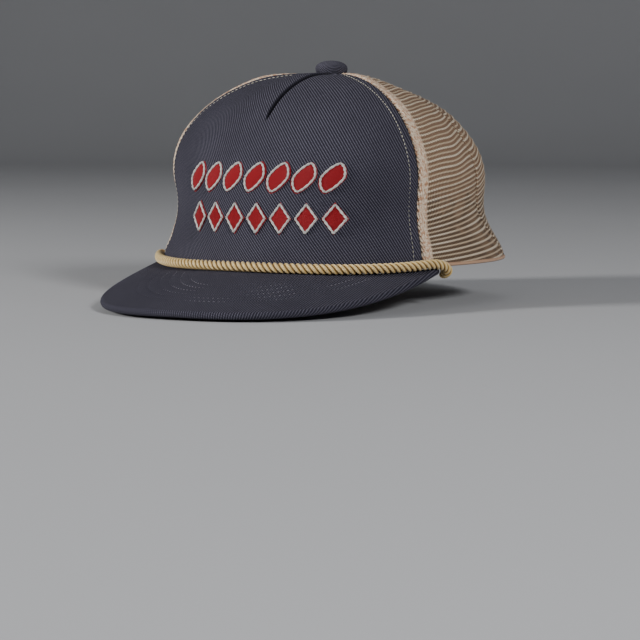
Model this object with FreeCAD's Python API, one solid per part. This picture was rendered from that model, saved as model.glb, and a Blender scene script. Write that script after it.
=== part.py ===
"""Five-panel rope cap with a mesh back, a nearly flat visor and a snap strap closure.

Millimetres. The origin is the centre of the head opening, on the plane of the crown's hem.
+Z is up, the visor points to -Y, and +X is the wearer's left.
An angle on the crown is measured in plan from the front centre towards +X.
"""
import FreeCAD, Part
import os
from math import asin, atan2, cos, degrees, exp, hypot, pi, radians, sin, tan

Vector = FreeCAD.Vector

# Crown, outside of the cloth
HALF_WIDTH = 92.2
FRONT_LENGTH = 93.8
REAR_LENGTH = 102.5
PLAN_POWER = 2.08
CROWN_HEIGHT = 107.3
TOP_SHIFT = 4.6
WALL_POWER = 3.43
DOME_POWER = 1.76
DOME_POWER_CHANGE = 0.25
WAIST = 0.066
WAIST_HEIGHT = 0.27
WAIST_SPREAD = 0.16
FLARE = 0.082
FLARE_ANGLE = radians(118)
FLARE_SPREAD_FRONT = radians(38)
FLARE_SPREAD_REAR = radians(26)
FLARE_HEIGHT = 0.15
TOP_RING = 4.6

# Panels
FRONT_SEAM = radians(62.2)
BACK_SEAM = radians(99)
BACK_SEAM_LEAN = radians(16)
BACK_SEAM_RISE = 36.0
CLOTH = 0.9
BACKING = 0.9
SEAM_GAP = 0.15
LAYER_GAP = 0.2
HEM = 1.7
TAPE_WIDTH = 12.0
TAPE = 0.5
TAPE_LOW = 1.2
TAPE_RING = 8.0
BACKING_RING = 9.0
TOPSTITCH_INSET = 6.0

# Rear opening and its snap straps
ARCH_HALF_WIDTH = 45.0
ARCH_HEIGHT = 52.0
BINDING = 1.5
BINDING_STAND = 0.5
STRAP_CENTRE_Y = -3.0
STRAP_LOW = 1.5
STRAP_HIGH = 19.0
STRAP_MIDDLE = (STRAP_LOW + STRAP_HIGH) / 2
STRAP_THICKNESS = 1.1
STRAP_END = 9.0
HOLE_STRAP_RADIUS = 101.2
PEG_STRAP_RADIUS = 99.7
SNAP_PITCH = 5.0
SNAP_COUNT = 7
PEG_RADIUS = 1.85
PEG_HEIGHT = 2.1
HOLE_RADIUS = 2.15
FIRST_HOLE = -20.0
FIRST_PEG = -5.0
HOLE_STRAP_TIP = 13.8
PEG_STRAP_TIP = -8.8
FLEX_ANGLE = 22.0
TAB_ANGLE = 30.5

# Sweatband
SWEATBAND_LOW = 0.8
SWEATBAND_HEIGHT = 32.0
SWEATBAND_THICKNESS = 1.5
SWEATBAND_DEPTH_FRONT = 3.2
SWEATBAND_DEPTH_REAR = 6.9

# Visor
VISOR_HALF_WIDTH = 88.6
VISOR_LENGTH = 134.4
VISOR_POWER = 2.35
VISOR_Y = -35.4
VISOR_SLOPE = tan(radians(11.56))
VISOR_CURVE = 0.00137
VISOR_Z = -1.1
VISOR_CORNER = radians(67.6)
VISOR_SEW_IN = 1.2
BOARD = 1.8
BOARD_INSET = 1.0
BOARD_GAP = 0.15
COVER = 0.5
VISOR_ROWS = 6
VISOR_ROW_START = 19.0
VISOR_ROW_PITCH = 5.8

# Rope
ROPE_RADIUS = 2.75
ROPE_CLEARANCE = 0.35
ROPE_TURNS = (0, 13, 26, 38, 50, 59, 66)
ROPE_END = (
    # angle in degrees, distance outside the hem, height
    (71.0, 2.3, 0.0),
    (73.4, 0.0, -3.8),
    (74.2, -6.0, -4.6),
)

# Button
BUTTON_RADIUS = 9.3
BUTTON_HEIGHT = 6.4
BUTTON_CAP = 0.7 * BUTTON_HEIGHT
BUTTON_LOW = CROWN_HEIGHT + 0.15
BUTTON_Y = TOP_SHIFT
SHELL = 0.6
SHELL_GAP = 0.15

# Raised motif on the front panel
THREAD = 0.6
MOTIF_ROWS = (
    # height of the row, half-height of a shape, first and last place across the front
    (49.0, 7.6, -43.0, 52.0),
    (27.0, 7.9, -38.0, 54.0),
)
MOTIF_COUNT = 7
MOTIF_HALF_WIDTH = 5.4
MOTIF_POWERS = (1.5, 1.0)
MOTIF_LEANS = (0.35, 0.0)
MOTIF_OUTLINE_IN = 0.15
MOTIF_OUTLINE_OUT = 1.1


def crown_radius(angle, share):
    """Plan radius of the crown at a share of its height."""
    across = abs(sin(angle)) / HALF_WIDTH
    length = FRONT_LENGTH if cos(angle) > 0 else REAR_LENGTH
    along = abs(cos(angle)) / length
    base_radius = (across**PLAN_POWER + along**PLAN_POWER) ** (-1 / PLAN_POWER)
    power = DOME_POWER + DOME_POWER_CHANGE * cos(angle)
    dome = max(0.0, 1 - share**WALL_POWER) ** (1 / power)
    waist = WAIST * sin(angle) ** 2 * exp(-(((share - WAIST_HEIGHT) / WAIST_SPREAD) ** 2))
    side = abs((angle + pi) % (2 * pi) - pi)
    spread = FLARE_SPREAD_REAR if side > FLARE_ANGLE else FLARE_SPREAD_FRONT
    flare = FLARE * exp(-(((side - FLARE_ANGLE) / spread) ** 2)) * exp(-((share / FLARE_HEIGHT) ** 2))
    return base_radius * (dome - waist + flare)


def crown_point(angle, height):
    """A point on the outside of the crown."""
    share = max(0.0, height / CROWN_HEIGHT)
    radius = crown_radius(angle, share)
    return Vector(radius * sin(angle), TOP_SHIFT * share**2 - radius * cos(angle), height)


def outward(angle, height):
    """The crown's outward direction at a point."""
    turn = 0.004
    rise = 0.02
    along = crown_point(angle + turn, height) - crown_point(angle - turn, height)
    up = crown_point(angle, height + rise) - crown_point(angle, height - rise)
    return along.cross(up).normalize()


def skin_point(angle, height, depth):
    """A point at a depth under the outside of the crown."""
    return crown_point(angle, height) - outward(angle, height) * depth


def ring_height(angle, radius):
    """The height at which the crown has narrowed to a radius."""
    low, high = 0.7, 1.0
    for _ in range(40):
        middle = (low + high) / 2
        if crown_radius(angle, middle) > radius:
            low = middle
        else:
            high = middle
    return low * CROWN_HEIGHT


def closed(faces):
    """The solid that a set of faces encloses."""
    shell = Part.makeShell(faces)
    shell.sewShape()
    solid = Part.makeSolid(shell)
    if solid.Volume < 0:
        solid.reverse()
    return solid


def between(outer_points, inner_points):
    """The solid between two grids of points."""
    skins = []
    for points in (outer_points, inner_points):
        surface = Part.BSplineSurface()
        surface.interpolate(points)
        skins.append(surface.toShape())
    sides = [Part.makeRuledSurface(a, b) for a, b in zip(skins[0].Edges, skins[1].Edges)]
    return closed(skins + sides)


def shell(place, outer_depth, inner_depth, columns, rows):
    """A piece of the crown between two depths. place(u, v) gives an angle and a height, with u and v from 0 to 1."""

    def grid(depth):
        points = []
        for i in range(columns + 1):
            line = [place(i / columns, j / rows) for j in range(rows + 1)]
            points.append([skin_point(angle, height, depth(angle)) for angle, height in line])
        return points

    return between(grid(outer_depth), grid(inner_depth))


def even(value):
    """The same value everywhere."""
    return lambda place: value


def back_seam(height):
    """The back seam's angle at a height. It leans to the rear near the hem."""
    return BACK_SEAM + BACK_SEAM_LEAN * exp(-((height / BACK_SEAM_RISE) ** 2))


def panel_place(first, last, low, ring):
    """Places over a panel from its hem to the ring at the top, with a gap to the panels beside it.

    first and last give the angles of its two seams at a height, and low gives the height of its hem at an angle.
    """

    def place(u, v):
        angle = first(CROWN_HEIGHT) * (1 - u) + last(CROWN_HEIGHT) * u
        top = ring_height(angle, ring)
        height = low(angle) + (top - low(angle)) * (1 - (1 - v) ** 2)
        start, end = first(height), last(height)
        gap = SEAM_GAP / crown_radius(start * (1 - u) + end * u, max(0.0, height / CROWN_HEIGHT))
        return start + gap + (end - start - 2 * gap) * u, height

    return place


def band_place(first, last, low, high):
    """Places over a band between two angles and two heights."""
    return lambda u, v: (first + (last - first) * u, low + (high - low) * v)


def prism(points, direction):
    """The solid swept by a closed outline of points along a direction."""
    return Part.Face(Part.makePolygon(points + points[:1])).extrude(direction)


def smooth_prism(curves, direction):
    """The solid swept along a direction by a closed outline of curves, each a list of points."""
    edges = []
    for points in curves:
        if len(points) == 2:
            edges.append(Part.makeLine(*points))
        else:
            spline = Part.BSplineCurve()
            spline.interpolate(points)
            edges.append(spline.toShape())
    return Part.Face(Part.Wire(edges)).extrude(direction)


def export(shape, node):
    """Write one node."""
    shape.exportStep(f"parts/{node}.step")


# ---- crown panels ----


def visor_height(x, y):
    """Top of the visor."""
    return VISOR_Z + VISOR_SLOPE * (y - VISOR_Y) + VISOR_CURVE * (VISOR_HALF_WIDTH**2 - x**2)


def front_low(angle):
    """The front panel reaches down to the visor."""
    foot = crown_point(angle, 0)
    return visor_height(foot.x, foot.y) + 0.35


def front_panel():
    place = panel_place(even(-FRONT_SEAM), even(FRONT_SEAM), front_low, TOP_RING)
    return shell(place, even(0), even(CLOTH), 32, 22)


def front_backing():
    inset = radians(2.5)
    depth = CLOTH + LAYER_GAP
    place = panel_place(even(-FRONT_SEAM + inset), even(FRONT_SEAM - inset), even(TAPE_LOW), BACKING_RING)
    return shell(place, even(depth), even(depth + BACKING), 32, 20)


def side_mesh(side):
    """A side panel, which ends inside the hem tape."""
    if side > 0:
        place = panel_place(even(FRONT_SEAM), back_seam, even(HEM), TOP_RING)
    else:
        place = panel_place(lambda height: -back_seam(height), even(-FRONT_SEAM), even(HEM), TOP_RING)
    return shell(place, even(0), even(CLOTH), 14, 22)


def arch_prism(growth):
    """The rear opening, grown all round."""
    half_width = ARCH_HALF_WIDTH + growth
    height = ARCH_HEIGHT + growth
    start = 40.0
    low = -8.0
    count = 24
    curve = []
    for i in range(count + 1):
        turn = pi * i / count
        curve.append(Vector(half_width * cos(turn), start, height * sin(turn)))
    left, right = curve[-1], curve[0]
    feet = [Vector(left.x, start, low), Vector(right.x, start, low)]
    outline = [curve, [left, feet[0]], feet, [feet[1], right]]
    return smooth_prism(outline, Vector(0, 90, 0))


def back_mesh(side):
    """Half of the back, which ends inside the tapes of the hem and the rear opening."""
    if side > 0:
        place = panel_place(back_seam, even(pi), even(HEM), TOP_RING)
    else:
        place = panel_place(even(-pi), lambda height: -back_seam(height), even(HEM), TOP_RING)
    panel = shell(place, even(0), even(CLOTH), 22, 22)
    return panel.cut(arch_prism(BINDING + LAYER_GAP))


def arch_binding(side):
    """Tape folded over the edge of the rear opening, one half on each side of the centre seam."""
    first, last = sorted((side * radians(145), side * (pi - 0.002)))
    place = band_place(first, last, 0.0, ARCH_HEIGHT + 8)
    band = shell(place, even(-BINDING_STAND), even(CLOTH + BINDING_STAND), 16, 14)
    ring = arch_prism(BINDING).cut(arch_prism(0))
    return band.common(ring)


def hem_binding(side):
    """Tape folded over the hem of the mesh, from the front seam to the rear opening."""
    foot = pi - asin((ARCH_HALF_WIDTH + BINDING + LAYER_GAP) / REAR_LENGTH)
    first, last = sorted((side * (FRONT_SEAM + 0.004), side * foot))
    place = band_place(first, last, 0.0, HEM - LAYER_GAP)
    return shell(place, even(-BINDING_STAND), even(CLOTH + BINDING_STAND), 28, 3)


# ---- seam tapes and sweatband ----


def seam_tape(seam, low):
    """Tape sewn over a seam inside the crown. seam gives the seam's angle at a height."""
    depth = CLOTH + BACKING + 2 * LAYER_GAP

    def place(u, v):
        height = low + (ring_height(seam(CROWN_HEIGHT), TAPE_RING) - low) * (1 - (1 - v) ** 2)
        radius = crown_radius(seam(height), height / CROWN_HEIGHT)
        return seam(height) + (u - 0.5) * min(TAPE_WIDTH / radius, 0.6), height

    return shell(place, even(depth), even(depth + TAPE), 4, 20)


def sweatband_depth(angle):
    """The sweatband runs further in at the rear, where the strap ends are sewn behind it."""
    share = min(1.0, max(0.0, (abs(degrees(angle)) - 118) / 26))
    step = share * share * (3 - 2 * share)
    return SWEATBAND_DEPTH_FRONT + (SWEATBAND_DEPTH_REAR - SWEATBAND_DEPTH_FRONT) * step


def sweatband():
    end = pi - asin((ARCH_HALF_WIDTH + 3) / REAR_LENGTH)
    place = band_place(-end, end, SWEATBAND_LOW, SWEATBAND_LOW + SWEATBAND_HEIGHT)
    inner = lambda angle: sweatband_depth(angle) + SWEATBAND_THICKNESS
    return shell(place, sweatband_depth, inner, 72, 8)


# ---- visor ----


def visor_edge(inset, count):
    """The visor's outline in plan, from the +X corner round the tip to the -X corner."""
    half_width = VISOR_HALF_WIDTH - inset
    length = VISOR_LENGTH - inset
    points = []
    for i in range(count + 1):
        turn = pi * (0.5 - i / count)
        x = half_width * (1 if turn > 0 else -1) * abs(sin(turn)) ** (2 / VISOR_POWER)
        y = VISOR_Y - length * max(0.0, cos(turn)) ** (2 / VISOR_POWER)
        points.append(Vector(x, y, 0))
    return points


def visor_join(angle):
    """The line inside the hem that the visor is sewn along, in plan, from -angle to angle."""
    points = []
    count = 24
    for i in range(count + 1):
        foot = crown_point(-angle + 2 * angle * i / count, 0)
        away = Vector(foot.x, foot.y, 0).normalize()
        points.append(Vector(foot.x, foot.y, 0) - away * VISOR_SEW_IN)
    return points


def visor_prism(inset):
    """The visor's outline as a tall prism."""
    low = -60.0
    edge = [Vector(p.x, p.y, low) for p in visor_edge(inset, 40)]
    join = [Vector(p.x, p.y, low) for p in visor_join(VISOR_CORNER - inset / HALF_WIDTH)]
    outline = [edge, [edge[-1], join[0]], join, [join[-1], edge[0]]]
    return smooth_prism(outline, Vector(0, 0, 80))


def visor_slab(top, bottom):
    """A sheet curved across the visor and sloping down to its tip."""
    reach = 95.0
    start = -185.0
    end = -20.0

    def line(drop):
        middle = visor_height(0, start) - drop
        side = visor_height(reach, start) - drop
        curve = Part.BezierCurve()
        poles = [Vector(-reach, start, side), Vector(0, start, 2 * middle - side), Vector(reach, start, side)]
        curve.setPoles(poles)
        return curve.toShape(), poles

    upper, upper_poles = line(top)
    lower, lower_poles = line(bottom)
    left = Part.makeLine(upper_poles[0], lower_poles[0])
    right = Part.makeLine(upper_poles[2], lower_poles[2])
    face = Part.Face(Part.Wire([upper, right, lower, left]))
    return face.extrude(Vector(0, end - start, VISOR_SLOPE * (end - start)))


def visor_layer(top, thickness, inset):
    """One layer of the visor, at a depth under its top."""
    return visor_slab(top, top + thickness).common(visor_prism(inset))


def visor_stitching():
    """Rows of thread that follow the visor's edge on its top cover."""
    sheet = visor_slab(-0.4, -0.05)
    rows = []
    for i in range(VISOR_ROWS):
        inset = VISOR_ROW_START + VISOR_ROW_PITCH * i
        outer = visor_row(inset)
        inner = visor_row(inset + THREAD)
        rows += sheet.common(outer.cut(inner)).Solids
    return Part.makeCompound(rows)


def visor_row(inset):
    """The area of the visor inside a row of stitching."""
    low = -60.0
    edge = [Vector(p.x, p.y, low) for p in visor_edge(inset, 32)]
    front = [p for p in edge if hypot(p.x, p.y) > crown_radius(atan2(p.x, -p.y), 0) + 7.0]
    return smooth_prism([front, [front[-1], front[0]]], Vector(0, 0, 80))


# ---- rope ----


def rope_points():
    """The rope's route: along the join of crown and visor, then round each corner and in under the hem."""
    reach = ROPE_RADIUS + ROPE_CLEARANCE
    half = []
    for turn in ROPE_TURNS:
        angle = radians(turn)
        foot = crown_point(angle, 0)
        away = Vector(foot.x, foot.y, 0).normalize()
        centre = foot + away * reach
        low = visor_height(foot.x, foot.y) + reach
        half.append(Vector(centre.x, centre.y, low))
    for turn, out, z in ROPE_END:
        angle = radians(turn)
        foot = crown_point(angle, 0)
        away = Vector(foot.x, foot.y, 0).normalize()
        spot = foot + away * out
        half.append(Vector(spot.x, spot.y, z))
    mirrored = [Vector(-p.x, p.y, p.z) for p in reversed(half[1:])]
    return mirrored + half


def rounded_wire(points):
    """Straight runs joined by tangent arcs."""
    edges = []
    start = points[0]
    for before, corner, after in zip(points, points[1:], points[2:]):
        back = (before - corner).normalize()
        ahead = (after - corner).normalize()
        turn = pi - back.getAngle(ahead)
        run = min((before - corner).Length, (after - corner).Length)
        reach = 0.45 * run
        radius = reach / tan(turn / 2)
        first = corner + back * reach
        last = corner + ahead * reach
        middle = (back + ahead).normalize()
        centre_distance = hypot(radius, reach)
        crest = corner + middle * (centre_distance - radius)
        edges.append(Part.makeLine(start, first))
        edges.append(Part.Arc(first, crest, last).toShape())
        start = last
    edges.append(Part.makeLine(start, points[-1]))
    return Part.Wire(edges)


def rope():
    path = rounded_wire(rope_points())
    first = path.Edges[0]
    start = first.valueAt(first.FirstParameter)
    profile = Part.Wire(Part.makeCircle(ROPE_RADIUS, start, first.tangentAt(first.FirstParameter)))
    tube = path.makePipeShell([profile], True, False)
    ideal = pi * ROPE_RADIUS**2 * path.Length
    print(f"rope length {path.Length:.1f}, volume {tube.Volume:.0f} of {ideal:.0f}")
    return tube


# ---- button ----


def turned(points):
    """A solid turned about the button's axis from a half profile of radii and heights."""
    profile = [Vector(r, BUTTON_Y, z) for r, z in points]
    face = Part.Face(Part.makePolygon(profile + profile[:1]))
    return face.revolve(Vector(0, BUTTON_Y, 0), Vector(0, 0, 1), 360)


def dome(inset, low):
    """The button's outer shape brought in by an inset, cut off flat at a height."""
    ball_radius = (BUTTON_RADIUS**2 + BUTTON_CAP**2) / (2 * BUTTON_CAP)
    ball = Part.makeSphere(ball_radius - inset, Vector(0, BUTTON_Y, BUTTON_LOW + BUTTON_HEIGHT - ball_radius))
    column = Part.makeCylinder(BUTTON_RADIUS - inset, 2 * BUTTON_HEIGHT, Vector(0, BUTTON_Y, low))
    return column.common(ball)


def button_cover():
    return dome(0, BUTTON_LOW).cut(dome(COVER, BUTTON_LOW - 1))


def button_shell():
    gap = COVER + SHELL_GAP
    return dome(gap, BUTTON_LOW + 0.1).cut(dome(gap + SHELL, BUTTON_LOW - 1))


def button_post():
    """Rivet from the button down through the top ring."""
    top = CROWN_HEIGHT + BUTTON_HEIGHT - COVER - 1.6
    return turned([(0, CROWN_HEIGHT - 4.6), (1.6, CROWN_HEIGHT - 4.6), (1.6, top - 0.8), (3.2, top), (0, top)])


def button_washer():
    """Washer under the crown that the rivet is closed over."""
    high = CROWN_HEIGHT - 3.2
    return turned([(1.75, high - 0.9), (6.5, high - 0.9), (6.5, high), (1.75, high)])


# ---- snap straps ----


def sector(radius, first, last, low, high):
    """A strip of a round wall, between two angles in degrees from the rear centre towards +X."""
    turns = [radians(first), radians((first + last) / 2), radians(last)]

    def arc(size):
        return [Vector(size * sin(t), STRAP_CENTRE_Y + size * cos(t), low) for t in turns]

    outer, inner = arc(radius), arc(radius - STRAP_THICKNESS)
    edges = [
        Part.Arc(*outer).toShape(),
        Part.makeLine(outer[2], inner[2]),
        Part.Arc(*reversed(inner)).toShape(),
        Part.makeLine(inner[0], outer[0]),
    ]
    return Part.Face(Part.Wire(edges)).extrude(Vector(0, 0, high - low))


def radial(angle, near, far, size, height):
    """A round bar that points straight out from the strap's centre."""
    turn = radians(angle)
    away = Vector(sin(turn), cos(turn), 0)
    start = Vector(0, STRAP_CENTRE_Y, height) + away * near
    return Part.makeCylinder(size, far - near, start, away)


def snap_angles(first):
    return [first + SNAP_PITCH * i for i in range(SNAP_COUNT)]


def rounded_end(angle, radius, side):
    """The block that rounds the free end of a strap: what lies outside a half disc."""
    tip = angle - side * degrees(STRAP_END / radius)
    disc = radial(tip, radius - 6, radius + 6, (STRAP_HIGH - STRAP_LOW) / 2, STRAP_MIDDLE)
    first, last = sorted((tip, angle + side))
    wall = sector(radius + 3, first, last, STRAP_LOW - 1, STRAP_HIGH + 1)
    thick = sector(radius, first, last, STRAP_LOW - 1, STRAP_HIGH + 1)
    return wall.fuse(thick).cut(disc)


def hole_strap():
    """Outer strap, free to lift away about its flex line on the wearer's right."""
    bar = sector(HOLE_STRAP_RADIUS, -FLEX_ANGLE, HOLE_STRAP_TIP, STRAP_LOW, STRAP_HIGH)
    bar = bar.cut(rounded_end(HOLE_STRAP_TIP, HOLE_STRAP_RADIUS, 1))
    for angle in snap_angles(FIRST_HOLE):
        bar = bar.cut(radial(angle, HOLE_STRAP_RADIUS - 5, HOLE_STRAP_RADIUS + 5, HOLE_RADIUS, STRAP_MIDDLE))
    knuckle = Part.makeCylinder(STRAP_THICKNESS / 2, STRAP_HIGH - STRAP_LOW, flex_point())
    return bar.fuse(knuckle).removeSplitter()


def flex_point():
    """Foot of the line that the outer strap bends about."""
    turn = radians(-FLEX_ANGLE)
    radius = HOLE_STRAP_RADIUS - STRAP_THICKNESS / 2
    return Vector(radius * sin(turn), STRAP_CENTRE_Y + radius * cos(turn), STRAP_LOW)


def hole_strap_tab():
    """The outer strap's sewn end, behind the mesh."""
    gap = degrees((STRAP_THICKNESS / 2 + 0.25) / HOLE_STRAP_RADIUS)
    return sector(HOLE_STRAP_RADIUS, -TAB_ANGLE, -FLEX_ANGLE - gap, STRAP_LOW + 0.5, STRAP_HIGH - 1.5)


def peg_strap():
    """Inner strap with its row of pegs, sewn in on the wearer's left."""
    bar = sector(PEG_STRAP_RADIUS, PEG_STRAP_TIP, TAB_ANGLE, STRAP_LOW, STRAP_HIGH)
    bar = bar.cut(rounded_end(PEG_STRAP_TIP, PEG_STRAP_RADIUS, -1))
    for angle in snap_angles(FIRST_PEG):
        peg = radial(angle, PEG_STRAP_RADIUS - 0.5, PEG_STRAP_RADIUS + PEG_HEIGHT, PEG_RADIUS, STRAP_MIDDLE)
        bar = bar.fuse(peg)
    return bar.removeSplitter()


# ---- threads and raised motif ----


def dash(angle, height, across, up, depth):
    """A short stitch lying on the cloth."""
    place = band_place(angle - across / 2, angle + across / 2, height - up / 2, height + up / 2)
    return shell(place, even(depth - 0.4), even(depth), 3, 3)


def seam_stitching(side):
    """A row of stitches beside a front seam, on the front panel."""
    stitches = []
    height = 4.0
    while height < 98.0:
        radius = crown_radius(side * FRONT_SEAM, height / CROWN_HEIGHT)
        angle = side * (FRONT_SEAM - TOPSTITCH_INSET / radius)
        climb = max(0.25, outward(angle, height).getAngle(Vector(0, 0, 1)) / (pi / 2))
        stitches.append(dash(angle, height, THREAD / radius, 2.2 * climb, -0.1))
        height += 3.4 * climb
    return Part.makeCompound(stitches)


def bartack(side):
    """Close stitches through a strap end, on the outside of the mesh."""
    stitches = []
    for i in range(4):
        angle = side * (pi - radians(27.5 + 1.1 * i))
        stitches.append(dash(angle, STRAP_MIDDLE, 0.006, 11.0, -0.1))
    return Part.makeCompound(stitches)


def motif_shapes():
    """A row of leaning leaves over a row of diamonds, each as its row, middle and half-height."""
    shapes = []
    for row, (height, half, first, last) in enumerate(MOTIF_ROWS):
        for i in range(MOTIF_COUNT):
            x = first + (last - first) * (i + 0.5) / MOTIF_COUNT
            shapes.append((row, x, height, half))
    return shapes


def motif_outline(row, x, height, half, growth):
    """One shape of the motif, as a closed ring of points in front of the panel."""
    points = []
    count = 16
    wide = MOTIF_HALF_WIDTH + growth
    tall = half + growth
    power = MOTIF_POWERS[row]
    for i in range(count):
        turn = 2 * pi * i / count
        across = wide * abs(cos(turn)) ** (2 / power) * (1 if cos(turn) > 0 else -1)
        up = tall * abs(sin(turn)) ** (2 / power) * (1 if sin(turn) > 0 else -1)
        points.append(Vector(x + across + MOTIF_LEANS[row] * up, -130, height + up))
    return points


def motif_layer(growth, hole, outer_depth, inner_depth):
    """The motif's shapes raised off the front panel."""
    angle = radians(48)
    sheet = shell(band_place(-angle, angle, 12, 66), even(outer_depth), even(inner_depth), 24, 10)
    pieces = []
    for shape in motif_shapes():
        column = prism(motif_outline(*shape, growth), Vector(0, 100, 0))
        if hole is not None:
            column = column.cut(prism(motif_outline(*shape, hole), Vector(0, 100, 0)))
        pieces += sheet.common(column).Solids
    return Part.makeCompound(pieces)


def main():
    os.makedirs("parts", exist_ok=True)
    export(front_panel(), "front_panel")
    export(front_backing(), "front_backing")
    for name, side in (("left", 1), ("right", -1)):
        export(side_mesh(side), f"side_mesh_{name}")
        export(back_mesh(side), f"back_mesh_{name}")
        export(arch_binding(side), f"arch_binding_{name}")
        export(hem_binding(side), f"hem_binding_{name}")
        export(seam_tape(even(side * FRONT_SEAM), TAPE_LOW), f"front_seam_tape_{name}")
        export(seam_tape(lambda height: side * back_seam(height), TAPE_LOW), f"back_seam_tape_{name}")
        export(seam_stitching(side), f"front_seam_stitching_{name}")
        export(bartack(side), f"strap_bartack_{name}")
    export(seam_tape(even(pi), ARCH_HEIGHT + 5), "centre_back_seam_tape")
    export(sweatband(), "sweatband")
    board_top = COVER + BOARD_GAP
    export(visor_layer(0, COVER, 0), "visor_top_cover")
    export(visor_layer(board_top, BOARD, BOARD_INSET), "visor_board")
    export(visor_layer(board_top + BOARD + BOARD_GAP, COVER, 0), "visor_under_cover")
    export(visor_stitching(), "visor_stitching")
    export(rope(), "rope")
    export(button_cover(), "button_cover")
    export(button_shell(), "button_shell")
    export(button_post(), "button_post")
    export(button_washer(), "button_washer")
    export(peg_strap(), "peg_strap")
    export(hole_strap(), "hole_strap")
    export(hole_strap_tab(), "hole_strap_tab")
    export(motif_layer(0, None, -0.9, -0.15), "embroidery_fill")
    export(motif_layer(MOTIF_OUTLINE_OUT, MOTIF_OUTLINE_IN, -0.6, -0.15), "embroidery_outline")


main()
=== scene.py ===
import math

import bpy
import numpy as np
from bpy.props import FloatProperty, FloatVectorProperty, IntProperty, PointerProperty
from mathutils import Matrix, Vector


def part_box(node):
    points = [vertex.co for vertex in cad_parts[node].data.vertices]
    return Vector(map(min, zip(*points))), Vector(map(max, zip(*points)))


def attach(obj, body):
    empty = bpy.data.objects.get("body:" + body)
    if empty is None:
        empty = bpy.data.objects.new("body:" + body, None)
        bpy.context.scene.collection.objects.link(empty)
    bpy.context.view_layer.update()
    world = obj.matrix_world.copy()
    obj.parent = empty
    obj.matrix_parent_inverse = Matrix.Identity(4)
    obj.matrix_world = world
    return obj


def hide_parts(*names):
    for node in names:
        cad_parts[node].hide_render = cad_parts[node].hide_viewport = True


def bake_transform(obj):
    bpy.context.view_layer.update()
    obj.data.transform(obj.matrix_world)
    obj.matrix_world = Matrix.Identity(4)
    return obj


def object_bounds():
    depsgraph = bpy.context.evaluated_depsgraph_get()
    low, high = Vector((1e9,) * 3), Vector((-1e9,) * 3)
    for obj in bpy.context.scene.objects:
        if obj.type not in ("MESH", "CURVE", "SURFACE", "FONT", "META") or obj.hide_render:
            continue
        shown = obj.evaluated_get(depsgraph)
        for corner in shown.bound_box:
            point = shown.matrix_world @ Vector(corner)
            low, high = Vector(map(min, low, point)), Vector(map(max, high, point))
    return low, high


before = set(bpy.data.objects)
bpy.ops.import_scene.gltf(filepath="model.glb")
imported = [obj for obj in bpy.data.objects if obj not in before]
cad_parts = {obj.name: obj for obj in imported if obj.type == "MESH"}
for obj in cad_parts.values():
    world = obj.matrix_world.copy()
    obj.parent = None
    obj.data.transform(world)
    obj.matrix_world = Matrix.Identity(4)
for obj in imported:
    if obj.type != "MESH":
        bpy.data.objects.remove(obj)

bl_info = {
    "name": "Rope cap",
    "version": (1, 0, 0),
    "blender": (4, 5, 0),
    "location": "3D View > Sidebar > Rope cap",
    "description": "Builds the cloth, mesh, rope, stitching and straps of a rope cap around its frame",
    "category": "Add Mesh",
}

CAD_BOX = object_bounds()
MM = 0.001
STRAP_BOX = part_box("hole_strap")


# ---------------------------------------------------------------- settings


def length(name, description, default):
    """A size in metres."""
    return FloatProperty(name=name, description=description, default=default, unit="LENGTH", precision=5)


def colour(name, description, default):
    """A plain colour."""
    return FloatVectorProperty(
        name=name, description=description, default=default, subtype="COLOR", size=3, min=0.0, max=1.0
    )


class CapCrownSettings(bpy.types.PropertyGroup):
    half_width: length("Half width", "Half the crown's width at the hem", 92.2 * MM)
    front_length: length("Front length", "From the middle of the head opening to the front", 93.8 * MM)
    rear_length: length("Rear length", "From the middle of the head opening to the rear", 102.5 * MM)
    height: length("Height", "Height of the crown above its hem", 107.3 * MM)
    top_shift: length("Top shift", "How far behind the middle the top sits", 4.6 * MM)
    cloth: length("Cloth", "Thickness of a crown panel", 0.9 * MM)
    arch_half_width: length("Arch half width", "Half the width of the rear opening", 45 * MM)
    arch_height: length("Arch height", "Height of the rear opening", 52 * MM)
    ridge: length("Ridge pitch", "From one broad ridge of the mesh to the next", 5.4 * MM)
    ridge_height: length("Ridge height", "How far a ridge of the mesh stands out", 0.55 * MM)
    dart_tip: length("Dart tip", "Height of the lower end of the front dart", 79 * MM)


class CapVisorSettings(bpy.types.PropertyGroup):
    half_width: length("Half width", "Half the visor's width", 88.6 * MM)
    reach: length("Reach", "From the visor's corners to its tip", 134.4 * MM)
    corner_y: length("Corner place", "Place of the visor's corners along the cap", -35.4 * MM)
    thickness: length("Thickness", "Thickness of the covered board", 3.1 * MM)
    rows: IntProperty(name="Rows", description="Rows of stitching", default=6, min=0, max=12)
    row_start: length("First row", "From the edge to the first row", 19 * MM)
    row_pitch: length("Row pitch", "Between two rows", 5.8 * MM)


class CapTrimSettings(bpy.types.PropertyGroup):
    rope_radius: length("Rope radius", "Radius of the rope", 2.75 * MM)
    rope_lay: length("Rope lay", "Length in which a strand goes once round", 9.6 * MM)
    button_radius: length("Button radius", "Radius of the top button", 9.3 * MM)
    stitch: length("Stitch", "Distance from one stitch to the next", 2.5 * MM)
    thread: length("Thread", "Width of a stitch", 0.55 * MM)


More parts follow.
